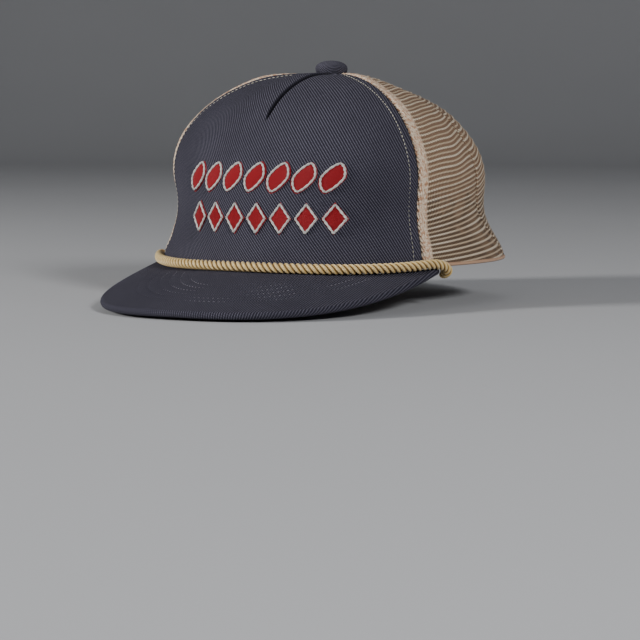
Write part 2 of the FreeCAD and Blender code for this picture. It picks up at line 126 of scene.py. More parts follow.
class CapColourSettings(bpy.types.PropertyGroup):
    twill: colour("Twill", "Front panel, visor and button", (0.024, 0.023, 0.034))
    # painted highlight: the twill's raised lines are coloured lighter than its ground
    twill_ridge_highlight: colour("Twill ridge", "The raised lines of the twill", (0.165, 0.158, 0.205))
    mesh: colour("Mesh", "Side and back panels", (0.72, 0.55, 0.36))
    # painted shade between the ridges of the mesh
    mesh_furrow_shade: colour("Mesh furrow", "Between the ridges of the mesh", (0.21, 0.105, 0.052))
    rope: colour("Rope", "The rope's strands", (0.66, 0.40, 0.10))
    # painted shade between the strands of the rope
    rope_furrow_shade: colour("Rope furrow", "Between the strands", (0.050, 0.020, 0.004))
    red: colour("Red thread", "Filled embroidery", (0.40, 0.0, 0.008))
    white: colour("White thread", "Outline embroidery", (0.86, 0.82, 0.76))
    cream: colour("Cream thread", "Seam stitching", (0.66, 0.62, 0.52))


# ---------------------------------------------------------------- shader writing


class Wire:
    """One output of a material's nodes, with the sums that are used on it."""

    def __init__(self, paint, socket):
        self.paint = paint
        self.socket = socket

    def sum(self, operation, *others):
        inputs = dict(enumerate((self, *others)))
        return self.paint.node("ShaderNodeMath", {"operation": operation}, inputs)

    def __add__(self, other):
        return self.sum("ADD", other)

    def __sub__(self, other):
        return self.sum("SUBTRACT", other)

    def __rsub__(self, other):
        return self.paint.node("ShaderNodeMath", {"operation": "SUBTRACT"}, {0: other, 1: self})

    def __mul__(self, other):
        return self.sum("MULTIPLY", other)

    def __truediv__(self, other):
        return self.sum("DIVIDE", other)

    __radd__ = __add__
    __rmul__ = __mul__

    def sine(self):
        return self.sum("SINE")

    def fraction(self):
        return self.sum("FRACT")

    def size(self):
        return self.sum("ABSOLUTE")

    def most(self, other):
        return self.sum("MAXIMUM", other)

    def least(self, other):
        return self.sum("MINIMUM", other)

    def step(self, low, high):
        """0 below low, 1 above high, smooth between; low may be above high."""
        inputs = {"Value": self, 1: low, 2: high, 3: 0.0, 4: 1.0}
        return self.paint.node("ShaderNodeMapRange", {"interpolation_type": "SMOOTHSTEP"}, inputs)


class Paint:
    """A material being written."""

    def __init__(self, name):
        self.material = bpy.data.materials.new(name)
        self.material.use_nodes = True
        self.tree = self.material.node_tree
        self.shader = next(n for n in self.tree.nodes if n.type == "BSDF_PRINCIPLED")

    def node(self, kind, settings, inputs, output=0):
        made = self.tree.nodes.new(kind)
        for name, value in settings.items():
            setattr(made, name, value)
        for name, value in inputs.items():
            self.join(made.inputs[name], value)
        return Wire(self, made.outputs[output])

    def join(self, socket, value):
        if isinstance(value, Wire):
            self.tree.links.new(value.socket, socket)
        elif isinstance(value, (tuple, list)) and socket.type == "RGBA":
            socket.default_value = (*value[:3], 1.0)
        else:
            socket.default_value = value

    def mark(self, name):
        """A number that the piece carries on its vertices."""
        return self.node("ShaderNodeAttribute", {"attribute_name": name}, {}, "Fac")

    def place(self):
        """The point on the object, in metres."""
        return self.node("ShaderNodeTexCoord", {}, {}, "Object")

    def cloth(self):
        """The piece's own cloth coordinates, in metres, as two wires."""
        flat = self.node("ShaderNodeUVMap", {"uv_map": "cloth"}, {})
        return self.parts(flat)[:2]

    def parts(self, vector):
        split = self.tree.nodes.new("ShaderNodeSeparateXYZ")
        self.join(split.inputs[0], vector)
        return [Wire(self, socket) for socket in split.outputs]

    def vector(self, x, y, z):
        return self.node("ShaderNodeCombineXYZ", {}, {0: x, 1: y, 2: z})

    def noise(self, vector, scale, detail=2.0, rough=0.5):
        inputs = {"Vector": vector, "Scale": scale, "Detail": detail, "Roughness": rough}
        return self.node("ShaderNodeTexNoise", {}, inputs, "Fac")

    def mix(self, factor, first, second):
        return self.node("ShaderNodeMix", {"data_type": "RGBA"}, {0: factor, 6: first, 7: second}, 2)

    def bump(self, height, distance, strength=1.0):
        return self.node("ShaderNodeBump", {}, {"Height": height, "Distance": distance, "Strength": strength})

    def finish(self, **inputs):
        for name, value in inputs.items():
            self.join(self.shader.inputs[name.replace("_", " ")], value)
        return self.material


def waves(wire, pitch):
    """0 to 1 and back, once each pitch."""
    return (wire * (2 * math.pi / pitch)).sine() * 0.5 + 0.5


# ---------------------------------------------------------------- finishes


LINT = (0.24, 0.235, 0.27)
# painted shade for the crease of the front dart
TWILL_CREASE_SHADE = (0.004, 0.004, 0.006)
MESH_SHINE = (1.0, 0.92, 0.76)
# painted shade for the small pits between the ribs
MESH_PIT_SHADE = (0.085, 0.042, 0.020)
# painted shade round the holes of the mesh
MESH_HOLE_SHADE = (0.035, 0.020, 0.012)
MESH_DOUBLED = (0.92, 0.76, 0.58)
MESH_FLECK = (0.50, 0.24, 0.12)
MESH_FIBRE = (1.0, 0.95, 0.84)
# painted shade beside the seams of the mesh
MESH_SEAM_SHADE = (0.10, 0.055, 0.030)
ROPE_SHINE = (1.0, 0.85, 0.50)
ROPE_WORN = (0.45, 0.26, 0.08)


def colours():
    """The cap's colour settings."""
    return bpy.context.scene.cap_colours


def twill_material(name, lean, pitch=1.3 * MM, lift=1.0):
    """Fine twill: raised diagonal lines, broken into short floats, over a soft cloudy ground. The raised
    lines carry a painted highlight, scaled by lift, and the dart's crease a painted shade.
    """
    paint = Paint(name)
    across, along = paint.cloth()
    shades = colours()
    line = across * math.cos(lean) + along * math.sin(lean)
    run = along * math.cos(lean) - across * math.sin(lean)
    wobble = paint.noise(paint.place(), 240.0) * (0.3 * MM)
    ridge = waves(line + wobble, pitch)
    floats = waves(run + line * 0.9, 1.05 * MM)
    weave = ridge.step(0.25, 0.95) * (0.3 + floats * 0.7)
    fold = paint.mark("fold")
    weave = weave * (1 - fold)
    cloud = paint.noise(paint.place(), 34.0, 3.0)
    fuzz = paint.noise(paint.place(), 2400.0, 2.0, 0.7)
    # painted highlight on the raised lines of the twill, scaled by lift
    shade = paint.mix(weave * (cloud * 0.7 + 0.55) * lift, shades.twill[:], shades.twill_ridge_highlight[:])
    shade = paint.mix(fuzz.step(0.60, 0.78) * 0.3, shade, LINT)
    # painted shade in the dart's crease, where the fold mark is set
    shade = paint.mix(fold, shade, TWILL_CREASE_SHADE)
    relief = (ridge * 0.7 + weave * 0.3) * (1 - fold) + fuzz * 0.2
    return paint.finish(
        Sheen_Weight=0.02,
        Sheen_Roughness=0.5,
        Sheen_Tint=(0.75, 0.75, 0.82),
        Specular_IOR_Level=0.06,
        Base_Color=shade,
        Roughness=0.94 - weave * 0.12,
        Normal=paint.bump(relief, 0.6 * MM, 1.0),
    )


def mesh_material():
    """Knitted mesh: broad and narrow ribs with rows of slanting holes between them. The holes close up
    towards the top and beside the seams."""
    paint = Paint("beige_knit_mesh")
    shades = colours()
    ridge = bpy.context.scene.cap_crown.ridge
    slant = 1.6 * MM
    across, along = paint.cloth()
    closed_band = paint.mark("doubled")
    up = paint.mark("up")
    phase = (along / ridge).fraction()
    from_broad = 0.5 - (phase - 0.5).size()
    from_narrow = (phase - 0.5).size()
    loop = ((across + phase * slant) / (1.3 * MM)).fraction()
    thread = (loop - 0.5).size() * 2.0
    broad = from_broad.step(0.16, 0.06)
    narrow = from_narrow.step(0.15, 0.06) * (0.55 + thread * 0.45)
    beads = waves(across + phase * slant, 2.1 * MM)
    rib = (broad * (0.45 + beads * 0.55)).most(narrow * 0.85)
    fold = paint.mark("fold")
    patchy = paint.noise(paint.place(), 60.0, 3.0)
    openness = (up * -2.3 + 1.02 + (patchy - 0.5) * 1.3).step(0.1, 0.5)
    openness = openness * (1 - closed_band.step(0.25, 0.6))
    slot_row = (1 - rib.step(0.15, 0.55)) * thread.step(0.66, 0.40)
    hole = slot_row * openness
    fibre = paint.noise(paint.place(), 1700.0, 2.0, 0.7)
    lit = rib * 0.75 + thread.step(0.35, 0.95) * 0.25
    # painted shade in the furrows and painted highlight on the ribs and thread loops
    shade = paint.mix(lit, shades.mesh_furrow_shade[:], shades.mesh[:])
    shine = thread.step(0.3, 0.95) * rib * 0.5 + broad * beads * 0.6
    shade = paint.mix(shine.least(1.0) * (patchy * 2.2 - 0.2).most(0.25).least(1.0), shade, MESH_SHINE)
    # painted shade in the small pits between the ribs
    pits = (1 - rib.step(0.1, 0.7)) * thread.step(0.55, 0.25)
    shade = paint.mix(pits * 0.7, shade, MESH_PIT_SHADE)
    # painted shade on the rims of the holes, where the alpha is still solid
    shade = paint.mix(hole.step(0.2, 0.7), shade, MESH_HOLE_SHADE)
    flecks = paint.noise(paint.vector(across * 1100.0, along * 420.0, 0.0), 1.0, 2.0, 0.6)
    rose = closed_band * flecks.step(0.57, 0.40)
    shade = paint.mix(closed_band * 0.85, shade, MESH_DOUBLED)
    shade = paint.mix(rose * 0.9, shade, MESH_FLECK)
    shade = paint.mix(fibre.step(0.58, 0.78) * 0.35, shade, MESH_FIBRE)
    # painted shade beside the seams, where the fold mark is set
    shade = paint.mix(fold * 0.8, shade, MESH_SEAM_SHADE)
    return paint.finish(
        Specular_IOR_Level=0.5,
        Base_Color=shade,
        Roughness=0.58 - thread * 0.15,
        Alpha=1 - hole.step(0.45, 0.8),
        Normal=paint.bump(thread.step(0.2, 0.9) * 0.5 + rib * 0.5 + fibre * 0.25 - hole, 0.6 * MM, 1.0),
    )


def tape_material(name, shade, dark, pitch=0.9 * MM):
    """Narrow woven tape."""
    paint = Paint(name)
    across, along = paint.cloth()
    rib = waves(across, pitch)
    cross = waves(along, pitch * 0.8)
    weave = rib * (0.5 + cross * 0.5)
    fuzz = paint.noise(paint.place(), 2200.0, 2.0, 0.7)
    tone = paint.mix(weave * 0.8 + fuzz * 0.2, dark, shade)
    return paint.finish(
        Sheen_Weight=0.2,
        Base_Color=tone,
        Roughness=0.9 - weave * 0.15,
        Normal=paint.bump(weave + fuzz * 0.3, 0.22 * MM),
    )


def rope_material():
    """Shiny cord: fine yarns running round each strand, with painted shade in the furrows and a painted
    highlight on the strands' crests.
    """
    paint = Paint("gold_twisted_rope")
    shades = colours()
    around, along = paint.cloth()
    depth = paint.mark("furrow")
    yarns = waves(around - along * 0.4, 0.5 * MM)
    worn = paint.noise(paint.place(), 300.0, 3.0)
    # painted shade in the furrows between the strands
    tone = paint.mix(depth.step(0.1, 1.0), shades.rope[:], shades.rope_furrow_shade[:])
    tone = paint.mix(depth.step(0.25, 0.0) * (0.25 + yarns * 0.6), tone, ROPE_SHINE)
    tone = paint.mix(worn.step(0.5, 0.75) * 0.25, tone, ROPE_WORN)
    return paint.finish(
        Specular_IOR_Level=0.6,
        Sheen_Weight=0.1,
        Base_Color=tone,
        Roughness=0.30 + depth * 0.4,
        Normal=paint.bump(yarns, 0.16 * MM, 0.8),
    )


def thread_material(name, shade, gloss=0.45, pitch=0.34 * MM):
    """Embroidery and sewing thread: close lines across each stitch, with a painted highlight on each line
    and painted shade between the lines.
    """
    paint = Paint(name)
    across, along = paint.cloth()
    lines = waves(across, pitch)
    fibre = paint.noise(paint.vector(across * 2600.0, along * 500.0, 0.0), 1.0, 2.0, 0.6)
    # painted shade between the thread lines and painted highlight on them
    dark = tuple(0.42 * c for c in shade)
    bright = tuple(min(1.0, 1.25 * c + 0.02) for c in shade)
    tone = paint.mix(lines * 0.7 + fibre * 0.3, dark, bright)
    return paint.finish(
        Specular_IOR_Level=0.3,
        Base_Color=tone,
        Roughness=gloss + fibre * 0.2,
        Normal=paint.bump(lines + fibre * 0.4, 0.2 * MM),
    )


def buckram_material():
    """Open, stiffened backing cloth."""
    paint = Paint("stiffened_backing")
    across, along = paint.cloth()
    grid = waves(across, 1.5 * MM).most(waves(along, 1.5 * MM))
    tone = paint.mix(grid, (0.42, 0.41, 0.38), (0.78, 0.77, 0.73))
    return paint.finish(Base_Color=tone, Roughness=0.9, Normal=paint.bump(grid, 0.25 * MM))


def moulded_material(name, shade, rough):
    """Moulded plastic with a faint satin grain and a little rubbing."""
    paint = Paint(name)
    grain = paint.noise(paint.place(), 3200.0, 2.0)
    rubbed = paint.noise(paint.place(), 90.0, 4.0)
    lighter = tuple(min(1.0, c * 1.7 + 0.01) for c in shade)
    tone = paint.mix(rubbed.step(0.55, 0.8) * 0.25, shade, lighter)
    return paint.finish(
        Base_Color=tone,
        Roughness=rubbed * 0.2 + rough,
        Normal=paint.bump(grain, 0.03 * MM, 0.6),
    )


def steel_material():
    """Plain pressed steel."""
    paint = Paint("pressed_steel")
    streaks = paint.noise(paint.place(), 700.0, 3.0)
    return paint.finish(
        Base_Color=paint.mix(streaks, (0.42, 0.42, 0.43), (0.62, 0.62, 0.63)),
        Metallic=1.0,
        Roughness=streaks * 0.2 + 0.25,
    )


# ---------------------------------------------------------------- crown and visor shapes


FRONT_SEAM = math.radians(62.2)
BACK_SEAM = math.radians(99)
BACK_SEAM_LEAN = math.radians(16)
BACK_SEAM_RISE = 36 * MM
PLAN_POWER = 2.08
WALL_POWER = 3.43
FLARE_ANGLE = math.radians(118)
TOP_RING = 4.2 * MM
VISOR_CORNER = math.radians(67.6)
VISOR_POWER = 2.35
VISOR_FALL = math.radians(11.56)
VISOR_CURVE = 1.37
VISOR_SEAT = -1.1 * MM


def crown_radius(angle, share):
    """Plan radius of the crown at a share of its height."""
    size = bpy.context.scene.cap_crown
    across = np.abs(np.sin(angle)) / size.half_width
    along = np.abs(np.cos(angle)) / np.where(np.cos(angle) > 0, size.front_length, size.rear_length)
    base_radius = (across**PLAN_POWER + along**PLAN_POWER) ** (-1 / PLAN_POWER)
    power = 1.76 + 0.25 * np.cos(angle)
    dome = np.maximum(0.0, 1 - share**WALL_POWER) ** (1 / power)
    waist = 0.066 * np.sin(angle) ** 2 * np.exp(-(((share - 0.27) / 0.16) ** 2))
    side = np.abs((angle + math.pi) % (2 * math.pi) - math.pi)
    spread = np.where(side > FLARE_ANGLE, math.radians(26), math.radians(38))
    flare = 0.082 * np.exp(-(((side - FLARE_ANGLE) / spread) ** 2)) * np.exp(-((share / 0.15) ** 2))
    return base_radius * (dome - waist + flare)


def radius_at(angle, height):
    """Plan radius of the crown at a height."""
    return crown_radius(angle, np.clip(height / bpy.context.scene.cap_crown.height, 0, 1))


def crown_point(angle, height):
    """Points on the outside of the crown."""
    size = bpy.context.scene.cap_crown
    share = np.clip(height / size.height, 0.0, 1.0)
    radius = crown_radius(angle, share)
    x = radius * np.sin(angle)
    y = size.top_shift * share**2 - radius * np.cos(angle)
    return np.stack([x, y, height + 0 * angle], axis=-1)


def outward(angle, height):
    """The crown's outward direction."""
    turn, rise = 0.004, 0.02 * MM
    along = crown_point(angle + turn, height) - crown_point(angle - turn, height)
    up = crown_point(angle, height + rise) - crown_point(angle, height - rise)
    normal = np.cross(along, up)
    return normal / np.linalg.norm(normal, axis=-1, keepdims=True)


DRAPE = (
    # middle and spread round the cap, heights where it starts and is full, how far the cloth stands out
    (math.radians(-68), math.radians(34), 32 * MM, 74 * MM, 5.2 * MM),
    (math.radians(-44), math.radians(24), 2 * MM, 14 * MM, -3.2 * MM),
    (math.radians(118), math.radians(40), 80 * MM, 98 * MM, -1.4 * MM),
)


def drape(angle, height):
    """How far the soft cloth stands out of its even shape: full at one shoulder and slack below it."""
    radius = radius_at(angle, height)
    total = 0 * radius
    for middle, spread, low, full, amount in DRAPE:
        turn = (angle - middle + math.pi) % (2 * math.pi) - math.pi
        total = total + amount * np.exp(-((turn / spread) ** 2)) * smooth_step(height, low, full)
    return total * smooth_step(radius, 12 * MM, 44 * MM)


def skin_point(angle, height, depth):
    """Points at a depth under the outside of the crown's cloth."""
    under = np.asarray(depth) - drape(angle, height)
    return crown_point(angle, height) - outward(angle, height) * under[..., None]


def close_in(low, high, lies_higher, steps=34):
    """Halves the space between low and high, keeping the half in which the answer lies."""
    for _ in range(steps):
        middle = (low + high) / 2
        higher = lies_higher(middle)
        low = np.where(higher, middle, low)
        high = np.where(higher, high, middle)
    return low, high


def ring_height(angle, radius):
    """The height at which the crown has narrowed to a radius."""
    low, high = np.full_like(angle, 0.7), np.ones_like(angle)
    share, _ = close_in(low, high, lambda middle: crown_radius(angle, middle) > radius)
    return share * bpy.context.scene.cap_crown.height


def rear_angle(x, height):
    """The angle at which the rear of the crown passes a place across it."""
    low, high = np.full_like(x, math.radians(95)), np.full_like(x, math.pi)
    angle, _ = close_in(low, high, lambda middle: crown_point(middle, height)[..., 0] > np.abs(x))
    return np.where(x < 0, -angle, angle)


def front_angle(x, height):
    """The angle at which the front of the crown passes a place across it."""
    low, high = np.full_like(x, -1.45), np.full_like(x, 1.45)
    low, high = close_in(low, high, lambda middle: crown_point(middle, height)[..., 0] < x)
    return (low + high) / 2


def back_seam(height):
    """The back seam's angle at a height. It leans to the rear near the hem."""
    return BACK_SEAM + BACK_SEAM_LEAN * np.exp(-((height / BACK_SEAM_RISE) ** 2))


def visor_height(x, y):
    """Top of the visor."""
    size = bpy.context.scene.cap_visor
    slope = math.tan(VISOR_FALL) * (y - size.corner_y)
    return VISOR_SEAT + slope + VISOR_CURVE * (size.half_width**2 - x**2)


def visor_edge(turn, inset):
    """The visor's outline in plan; turn runs from pi/2 at the +X corner to -pi/2."""
    size = bpy.context.scene.cap_visor
    power = 2 / VISOR_POWER
    x = (size.half_width - inset) * np.sign(np.sin(turn)) * np.abs(np.sin(turn)) ** power
    y = size.corner_y - (size.reach - inset) * np.maximum(0.0, np.cos(turn)) ** power
    return x, y


def visor_inset(x, y):
    """How far a place on the visor is from its edge."""
    size = bpy.context.scene.cap_visor

    def inside(inset):
        across = (np.abs(x) / (size.half_width - inset)) ** VISOR_POWER
        ahead = (np.abs(y - size.corner_y) / (size.reach - inset)) ** VISOR_POWER
        return across + ahead < 1

    return close_in(np.zeros_like(x), np.full_like(x, 80 * MM), inside, 30)[0]


def visor_channels(x, y, half_width):
    """How deep the rows of stitching draw the cover in, from 0 to 1."""
    size = bpy.context.scene.cap_visor
    inset = visor_inset(x, y)
    drawn = np.zeros_like(x)
    for row in range(size.rows):
        middle = size.row_start + size.row_pitch * row
        drawn += np.exp(-(((inset - middle) / half_width) ** 2))
    return drawn


# ---------------------------------------------------------------- modelling by hand


def let_go():
    """Nothing selected, out of edit mode."""
    if bpy.context.object and bpy.context.object.mode != "OBJECT":
        bpy.ops.object.mode_set(mode="OBJECT")
    bpy.ops.object.select_all(action="DESELECT")


def pick(piece):
    """Selects one piece and makes it active."""
    let_go()
    piece.select_set(True)
    bpy.context.view_layer.objects.active = piece


def apply_modifier(piece, kind, **settings):
    """Adds a modifier, sets it and applies it."""
    pick(piece)
    bpy.ops.object.modifier_add(type=kind)
    modifier = piece.modifiers[-1]
    for name, value in settings.items():
        setattr(modifier, name, value)
    bpy.ops.object.modifier_apply(modifier=modifier.name)


def flat_grid(name, columns, rows):
    """A grid of quads and the place of each vertex on it, from 0 to 1 each way."""
    let_go()
    bpy.ops.mesh.primitive_grid_add(x_subdivisions=columns, y_subdivisions=rows, size=2.0)
    piece = bpy.context.object
    piece.name = name
    piece.data.name = name
    place = np.empty(len(piece.data.vertices) * 3)
    piece.data.vertices.foreach_get("co", place)
    place = place.reshape(-1, 3)
    return piece, (place[:, 0] + 1) / 2, (place[:, 1] + 1) / 2


def lay_cloth(piece, cloth_u, cloth_v):
    """Sets a piece's cloth coordinates, which are in metres."""
    mesh = piece.data
    while mesh.uv_layers:
        mesh.uv_layers.remove(mesh.uv_layers[0])
    layer = mesh.uv_layers.new(name="cloth")
    corners = np.empty(len(mesh.loops), int)
    mesh.loops.foreach_get("vertex_index", corners)
    layer.data.foreach_set("uv", np.stack([cloth_u[corners], cloth_v[corners]], axis=1).ravel())


def shape_to(piece, points, cloth_u, cloth_v):
    """Moves a grid's vertices to their places and lays its cloth coordinates."""
    piece.data.vertices.foreach_set("co", np.asarray(points, float).ravel())
    lay_cloth(piece, cloth_u, cloth_v)
    piece.data.update()


def mark(piece, name, values):
    """A number on each vertex, for the piece's finish."""
    layer = piece.data.attributes.new(name, "FLOAT", "POINT")
    layer.data.foreach_set("value", np.asarray(values, np.float32))


def smooth(piece):
    pick(piece)
    bpy.ops.object.shade_smooth()


def edit_whole(piece):
    """Opens a piece in edit mode with all of it selected."""
    pick(piece)
    bpy.ops.object.mode_set(mode="EDIT")
    bpy.ops.mesh.select_all(action="SELECT")


def close_up(piece, reach=0.02 * MM):
    """Merges the edges that meet."""
    edit_whole(piece)
    bpy.ops.mesh.remove_doubles(threshold=reach)
    bpy.ops.object.mode_set(mode="OBJECT")


def face_out(piece, capped=False):
    """Turns the faces outward and smooths them; a capped piece has its open ends filled first."""
    edit_whole(piece)
    if capped:
        bpy.ops.mesh.fill_holes(sides=0)
        bpy.ops.mesh.select_all(action="SELECT")
    bpy.ops.mesh.normals_make_consistent(inside=False)
    bpy.ops.object.mode_set(mode="OBJECT")
    smooth(piece)


def dress(piece, material, slot, body, *nodes):
    """Gives a finished piece its finish, its body and the nodes that it stands for. A piece without a body
    has its placing baked into its mesh."""
    piece.data.materials.clear()
    piece.data.materials.append(material)
    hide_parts(*nodes)
    if body:
        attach(piece, body)
    else:
        follow_strap(piece)
    return piece


def dome_share(v):
    """Rows that bunch towards the top."""
    return 1 - (1 - v) ** 2


def meridian_length(angle, low, height):
    """Distance up the cloth from low to height, at an angle."""
    steps = 40
    total = np.zeros_like(angle)
    before = crown_point(angle, low)
    for i in range(1, steps + 1):
        share = dome_share(np.full_like(angle, i / steps))
        after = crown_point(angle, low + (height - low) * share)
        total += np.linalg.norm(after - before, axis=-1)
        before = after
    return total


def crown_sheet(name, columns, rows, place, depth, centre):
    """A piece of cloth on the crown. place(u, v) gives angles and heights. depth(angle, height, across,
    along) gives how deep the cloth lies, with across and along its own coordinates from the centre angle."""
    piece, u, v = flat_grid(name, columns, rows)
    angle, height = place(u, v)
    across = (angle - centre) * radius_at(angle, height)
    along = meridian_length(angle, np.zeros_like(angle), height)
    shape_to(piece, skin_point(angle, height, depth(angle, height, across, along)), across, along)
    return piece, across, along, angle, height


def thicken(piece, thickness):
    """A wall behind the cloth's outer face."""
    apply_modifier(piece, "SOLIDIFY", thickness=thickness, offset=-1.0, use_even_offset=False)
    smooth(piece)


def panel_place(first, last, low, ring, gap=0.1 * MM):
    """Places over a crown panel. first and last give the angles of its two seams at a height."""

    def place(u, v):
        top = bpy.context.scene.cap_crown.height
        angle = first(u * 0 + top) * (1 - u) + last(u * 0 + top) * u
        base = low(angle)
        height = base + (ring_height(angle, ring) - base) * dome_share(v)
        start, end = first(height), last(height)
        inset = gap / radius_at(start * (1 - u) + end * u, height)
        return start + inset + (end - start - 2 * inset) * u, height

    return place


# ---------------------------------------------------------------- crown


def front_low(angle):
    """The front panel reaches down to the visor."""
    foot = crown_point(angle, np.zeros_like(angle))
    return visor_height(foot[..., 0], foot[..., 1]) + 0.3 * MM


def even(value):
    """The same value everywhere."""
    return lambda place: np.full_like(place, value)


def smooth_step(x, low, high):
    """0 at low, 1 at high, smooth between; low may be above high."""
    share = np.clip((x - low) / (high - low), 0, 1)
    return share * share * (3 - 2 * share)


def front_place(u, v):
    """Places over the front panel, with close columns along the dart."""
    c = 2 * u - 1
    base = front_low(c * FRONT_SEAM)
    top = ring_height(c * FRONT_SEAM, TOP_RING)
    height = base + (top - base) * dome_share(v)
    radius = radius_at(c * FRONT_SEAM, height)
    half = radius * FRONT_SEAM - 0.12 * MM
    band = np.minimum(6 * MM, 0.45 * half)
    close_share = 0.3
    outer = band + (np.abs(c) - close_share) / (1 - close_share) * (half - band)
    side = np.sign(c) * np.where(np.abs(c) < close_share, np.abs(c) / close_share * band, outer)
    return side / radius, height


def front_depth(angle, height, side, along):
    """The dart's fold, the seam allowance, the pull of the stitches and soft undulation."""
    size = bpy.context.scene.cap_crown
    fade = smooth_step(height, size.dart_tip - 0.5 * MM, size.dart_tip + 7 * MM)
    lip = -0.75 * MM * np.exp(np.minimum(side, 0) / (4 * MM))
    under = 0.85 * MM * np.exp(-np.maximum(side, 0) / (5 * MM))
    fold = (lip + (under - lip) * smooth_step(side, -0.35 * MM, 0.35 * MM)) * fade
    groove = 1.3 * MM * np.exp(-(((side - 0.45 * MM) / (0.55 * MM)) ** 2)) * fade
    below = (size.dart_tip - height) / (9 * MM)
    pucker = np.exp(-(np.where(below > 0, below, below / 0.5) ** 2))
    dimple = 0.45 * MM * np.exp(-((side / (3.2 * MM)) ** 2)) * pucker
    radius = radius_at(angle, height)
    edge = radius * FRONT_SEAM - np.abs(side)
    allowance = -0.4 * MM * smooth_step(edge, 7.2 * MM, 5.4 * MM)
    pull = 0.28 * MM * np.exp(-(((edge - 6 * MM) / (0.8 * MM)) ** 2))
    turn_in = 0.9 * MM * smooth_step(edge, 0.9 * MM, 0.0)
    soft = 0.3 * MM * np.sin(side * 95 + height * 60) * np.sin(height * 70 - side * 20 + 1.0)
    drawn = seat(angle, height) + soft * smooth_step(height, 0, 20 * MM)
    return fold + groove + dimple + allowance + pull + turn_in + drawn


def front_panel():
    """The front twill panel, cut in one piece."""
    piece, across, _, _, height = crown_sheet("front_panel_twill", 190, 230, front_place, front_depth, 0.0)
    tip = bpy.context.scene.cap_crown.dart_tip
    line = np.exp(-(((across - 0.35 * MM) / (0.5 * MM)) ** 2)) * smooth_step(height, tip, tip + 5 * MM)
    # the fold mark paints shade into the dart's crease in the twill finish
    mark(piece, "fold", np.clip(1.3 * line, 0, 1))
    thicken(piece, bpy.context.scene.cap_crown.cloth)
    twill = twill_material("slate_twill_front", math.radians(37))
    return dress(piece, twill, "navy_twill", "cap", "front_panel")


def backing():
    """The stiff cloth behind the front panel."""
    inset = math.radians(2.5)

    def depth(angle, height, across, along):
        return np.full_like(angle, 2.6 * MM)

    place = panel_place(even(-FRONT_SEAM + inset), even(FRONT_SEAM - inset), even(1 * MM), 9 * MM)
    piece, *_ = crown_sheet("front_backing_buckram", 60, 40, place, depth, 0.0)
    thicken(piece, 0.5 * MM)
    return dress(piece, buckram_material(), "stiffener", "cap", "front_backing")


def seat(angle, height):
    """How far the cloth is drawn in round the button."""
    radius = radius_at(angle, height)
    return 1.25 * MM * np.exp(-((radius / (15 * MM)) ** 2))


SIDES = (("left", 1), ("right", -1))
REAR_BODY = {"left": None, "right": "cap"}
ROW_TILT = 0.21


def row_place(across, along, height, side):
    """How far up its rows a place on a mesh panel is. The rows climb towards the rear, less so at the hem."""
    climb = ROW_TILT * (0.35 + 0.65 * smooth_step(height, 0, 32 * MM))
    drift = 0.7 * MM * np.sin(across * 95 + along * 40) + 0.4 * MM * np.sin(across * 230 - along * 75 + 1.3)
    return along - side * climb * across + drift * smooth_step(height, 25 * MM, 70 * MM)


def mesh_panel(name, side, front, rear, columns):
    """A mesh panel with its ribs in relief, doubled where it is turned under beside its front seam. front and
    rear give the angles of its seams at a height, on the left; the right one is its mirror image."""
    size = bpy.context.scene.cap_crown

    def from_seams(angle, height):
        radius = radius_at(angle, height)
        return (np.abs(angle) - front(height)) * radius, (rear(height) - np.abs(angle)) * radius

    def doubled(angle, height):
        from_front, _ = from_seams(angle, height)
        wide = 6.6 * MM if name.startswith("side") else 0.0
        return smooth_step(from_front, wide + 0.6 * MM, wide - 0.6 * MM) * (wide > 0)

    def depth(angle, height, across, along):
        phase = row_place(across, along, height, side) / size.ridge * 2 * math.pi
        rib = (0.5 + 0.5 * np.cos(phase)) ** 3 + 0.65 * (0.5 - 0.5 * np.cos(phase)) ** 6
        higher = 0.45 + 1.1 * smooth_step(height, 20 * MM, 75 * MM)
        double = doubled(angle, height)
        near = np.minimum(*from_seams(angle, height))
        roll = 1.4 * MM * smooth_step(near, 1.8 * MM, 0.0) + seat(angle, height)
        sag = 0.25 * MM * np.sin(across * 160 + along * 90) * smooth_step(height, 10 * MM, 60 * MM)
        return roll + sag - size.ridge_height * rib * higher * (1 - 0.75 * double) - 0.7 * MM * double

    seams = (front, rear)
    if side < 0:
        seams = (lambda height: -rear(height), lambda height: -front(height))
    place = panel_place(*seams, even(1.1 * MM), TOP_RING)
    centre = side * float(front(np.array(0.0)) + rear(np.array(0.0))) / 2
    piece, across, along, angle, height = crown_sheet(name, columns, 400, place, depth, centre)
    lay_cloth(piece, across, row_place(across, along, height, side))
    mark(piece, "doubled", doubled(angle, height))
    from_front, from_rear = from_seams(angle, height)
    from_seam = from_rear if name.startswith("side") else np.minimum(from_front, from_rear)
    # the fold mark paints shade beside the seams in the mesh finish
    mark(piece, "fold", smooth_step(from_seam, 2.2 * MM, 0.3 * MM))
    mark(piece, "up", height / size.height)
    thicken(piece, 0.7 * MM)
    return piece


def side_meshes(material):
    for name, side in SIDES:
        piece = mesh_panel(f"side_panel_mesh_{name}", side, even(FRONT_SEAM), back_seam, 44)
        dress(piece, material, "beige_mesh", "cap", f"side_mesh_{name}")


def arch_cutter(growth):
    """A long bar with the section of the rear opening."""
    size = bpy.context.scene.cap_crown
    let_go()
    bpy.ops.mesh.primitive_cylinder_add(vertices=128, radius=1.0, depth=1.0, rotation=(math.pi / 2, 0, 0))
    bar = bpy.context.object
    bar.scale = (size.arch_half_width + growth, size.arch_height + growth, 0.08)
    bar.location = (0.0, 0.09, 0.0)
    pick(bar)
    bpy.ops.object.transform_apply(location=True, rotation=True, scale=True)
    return bar


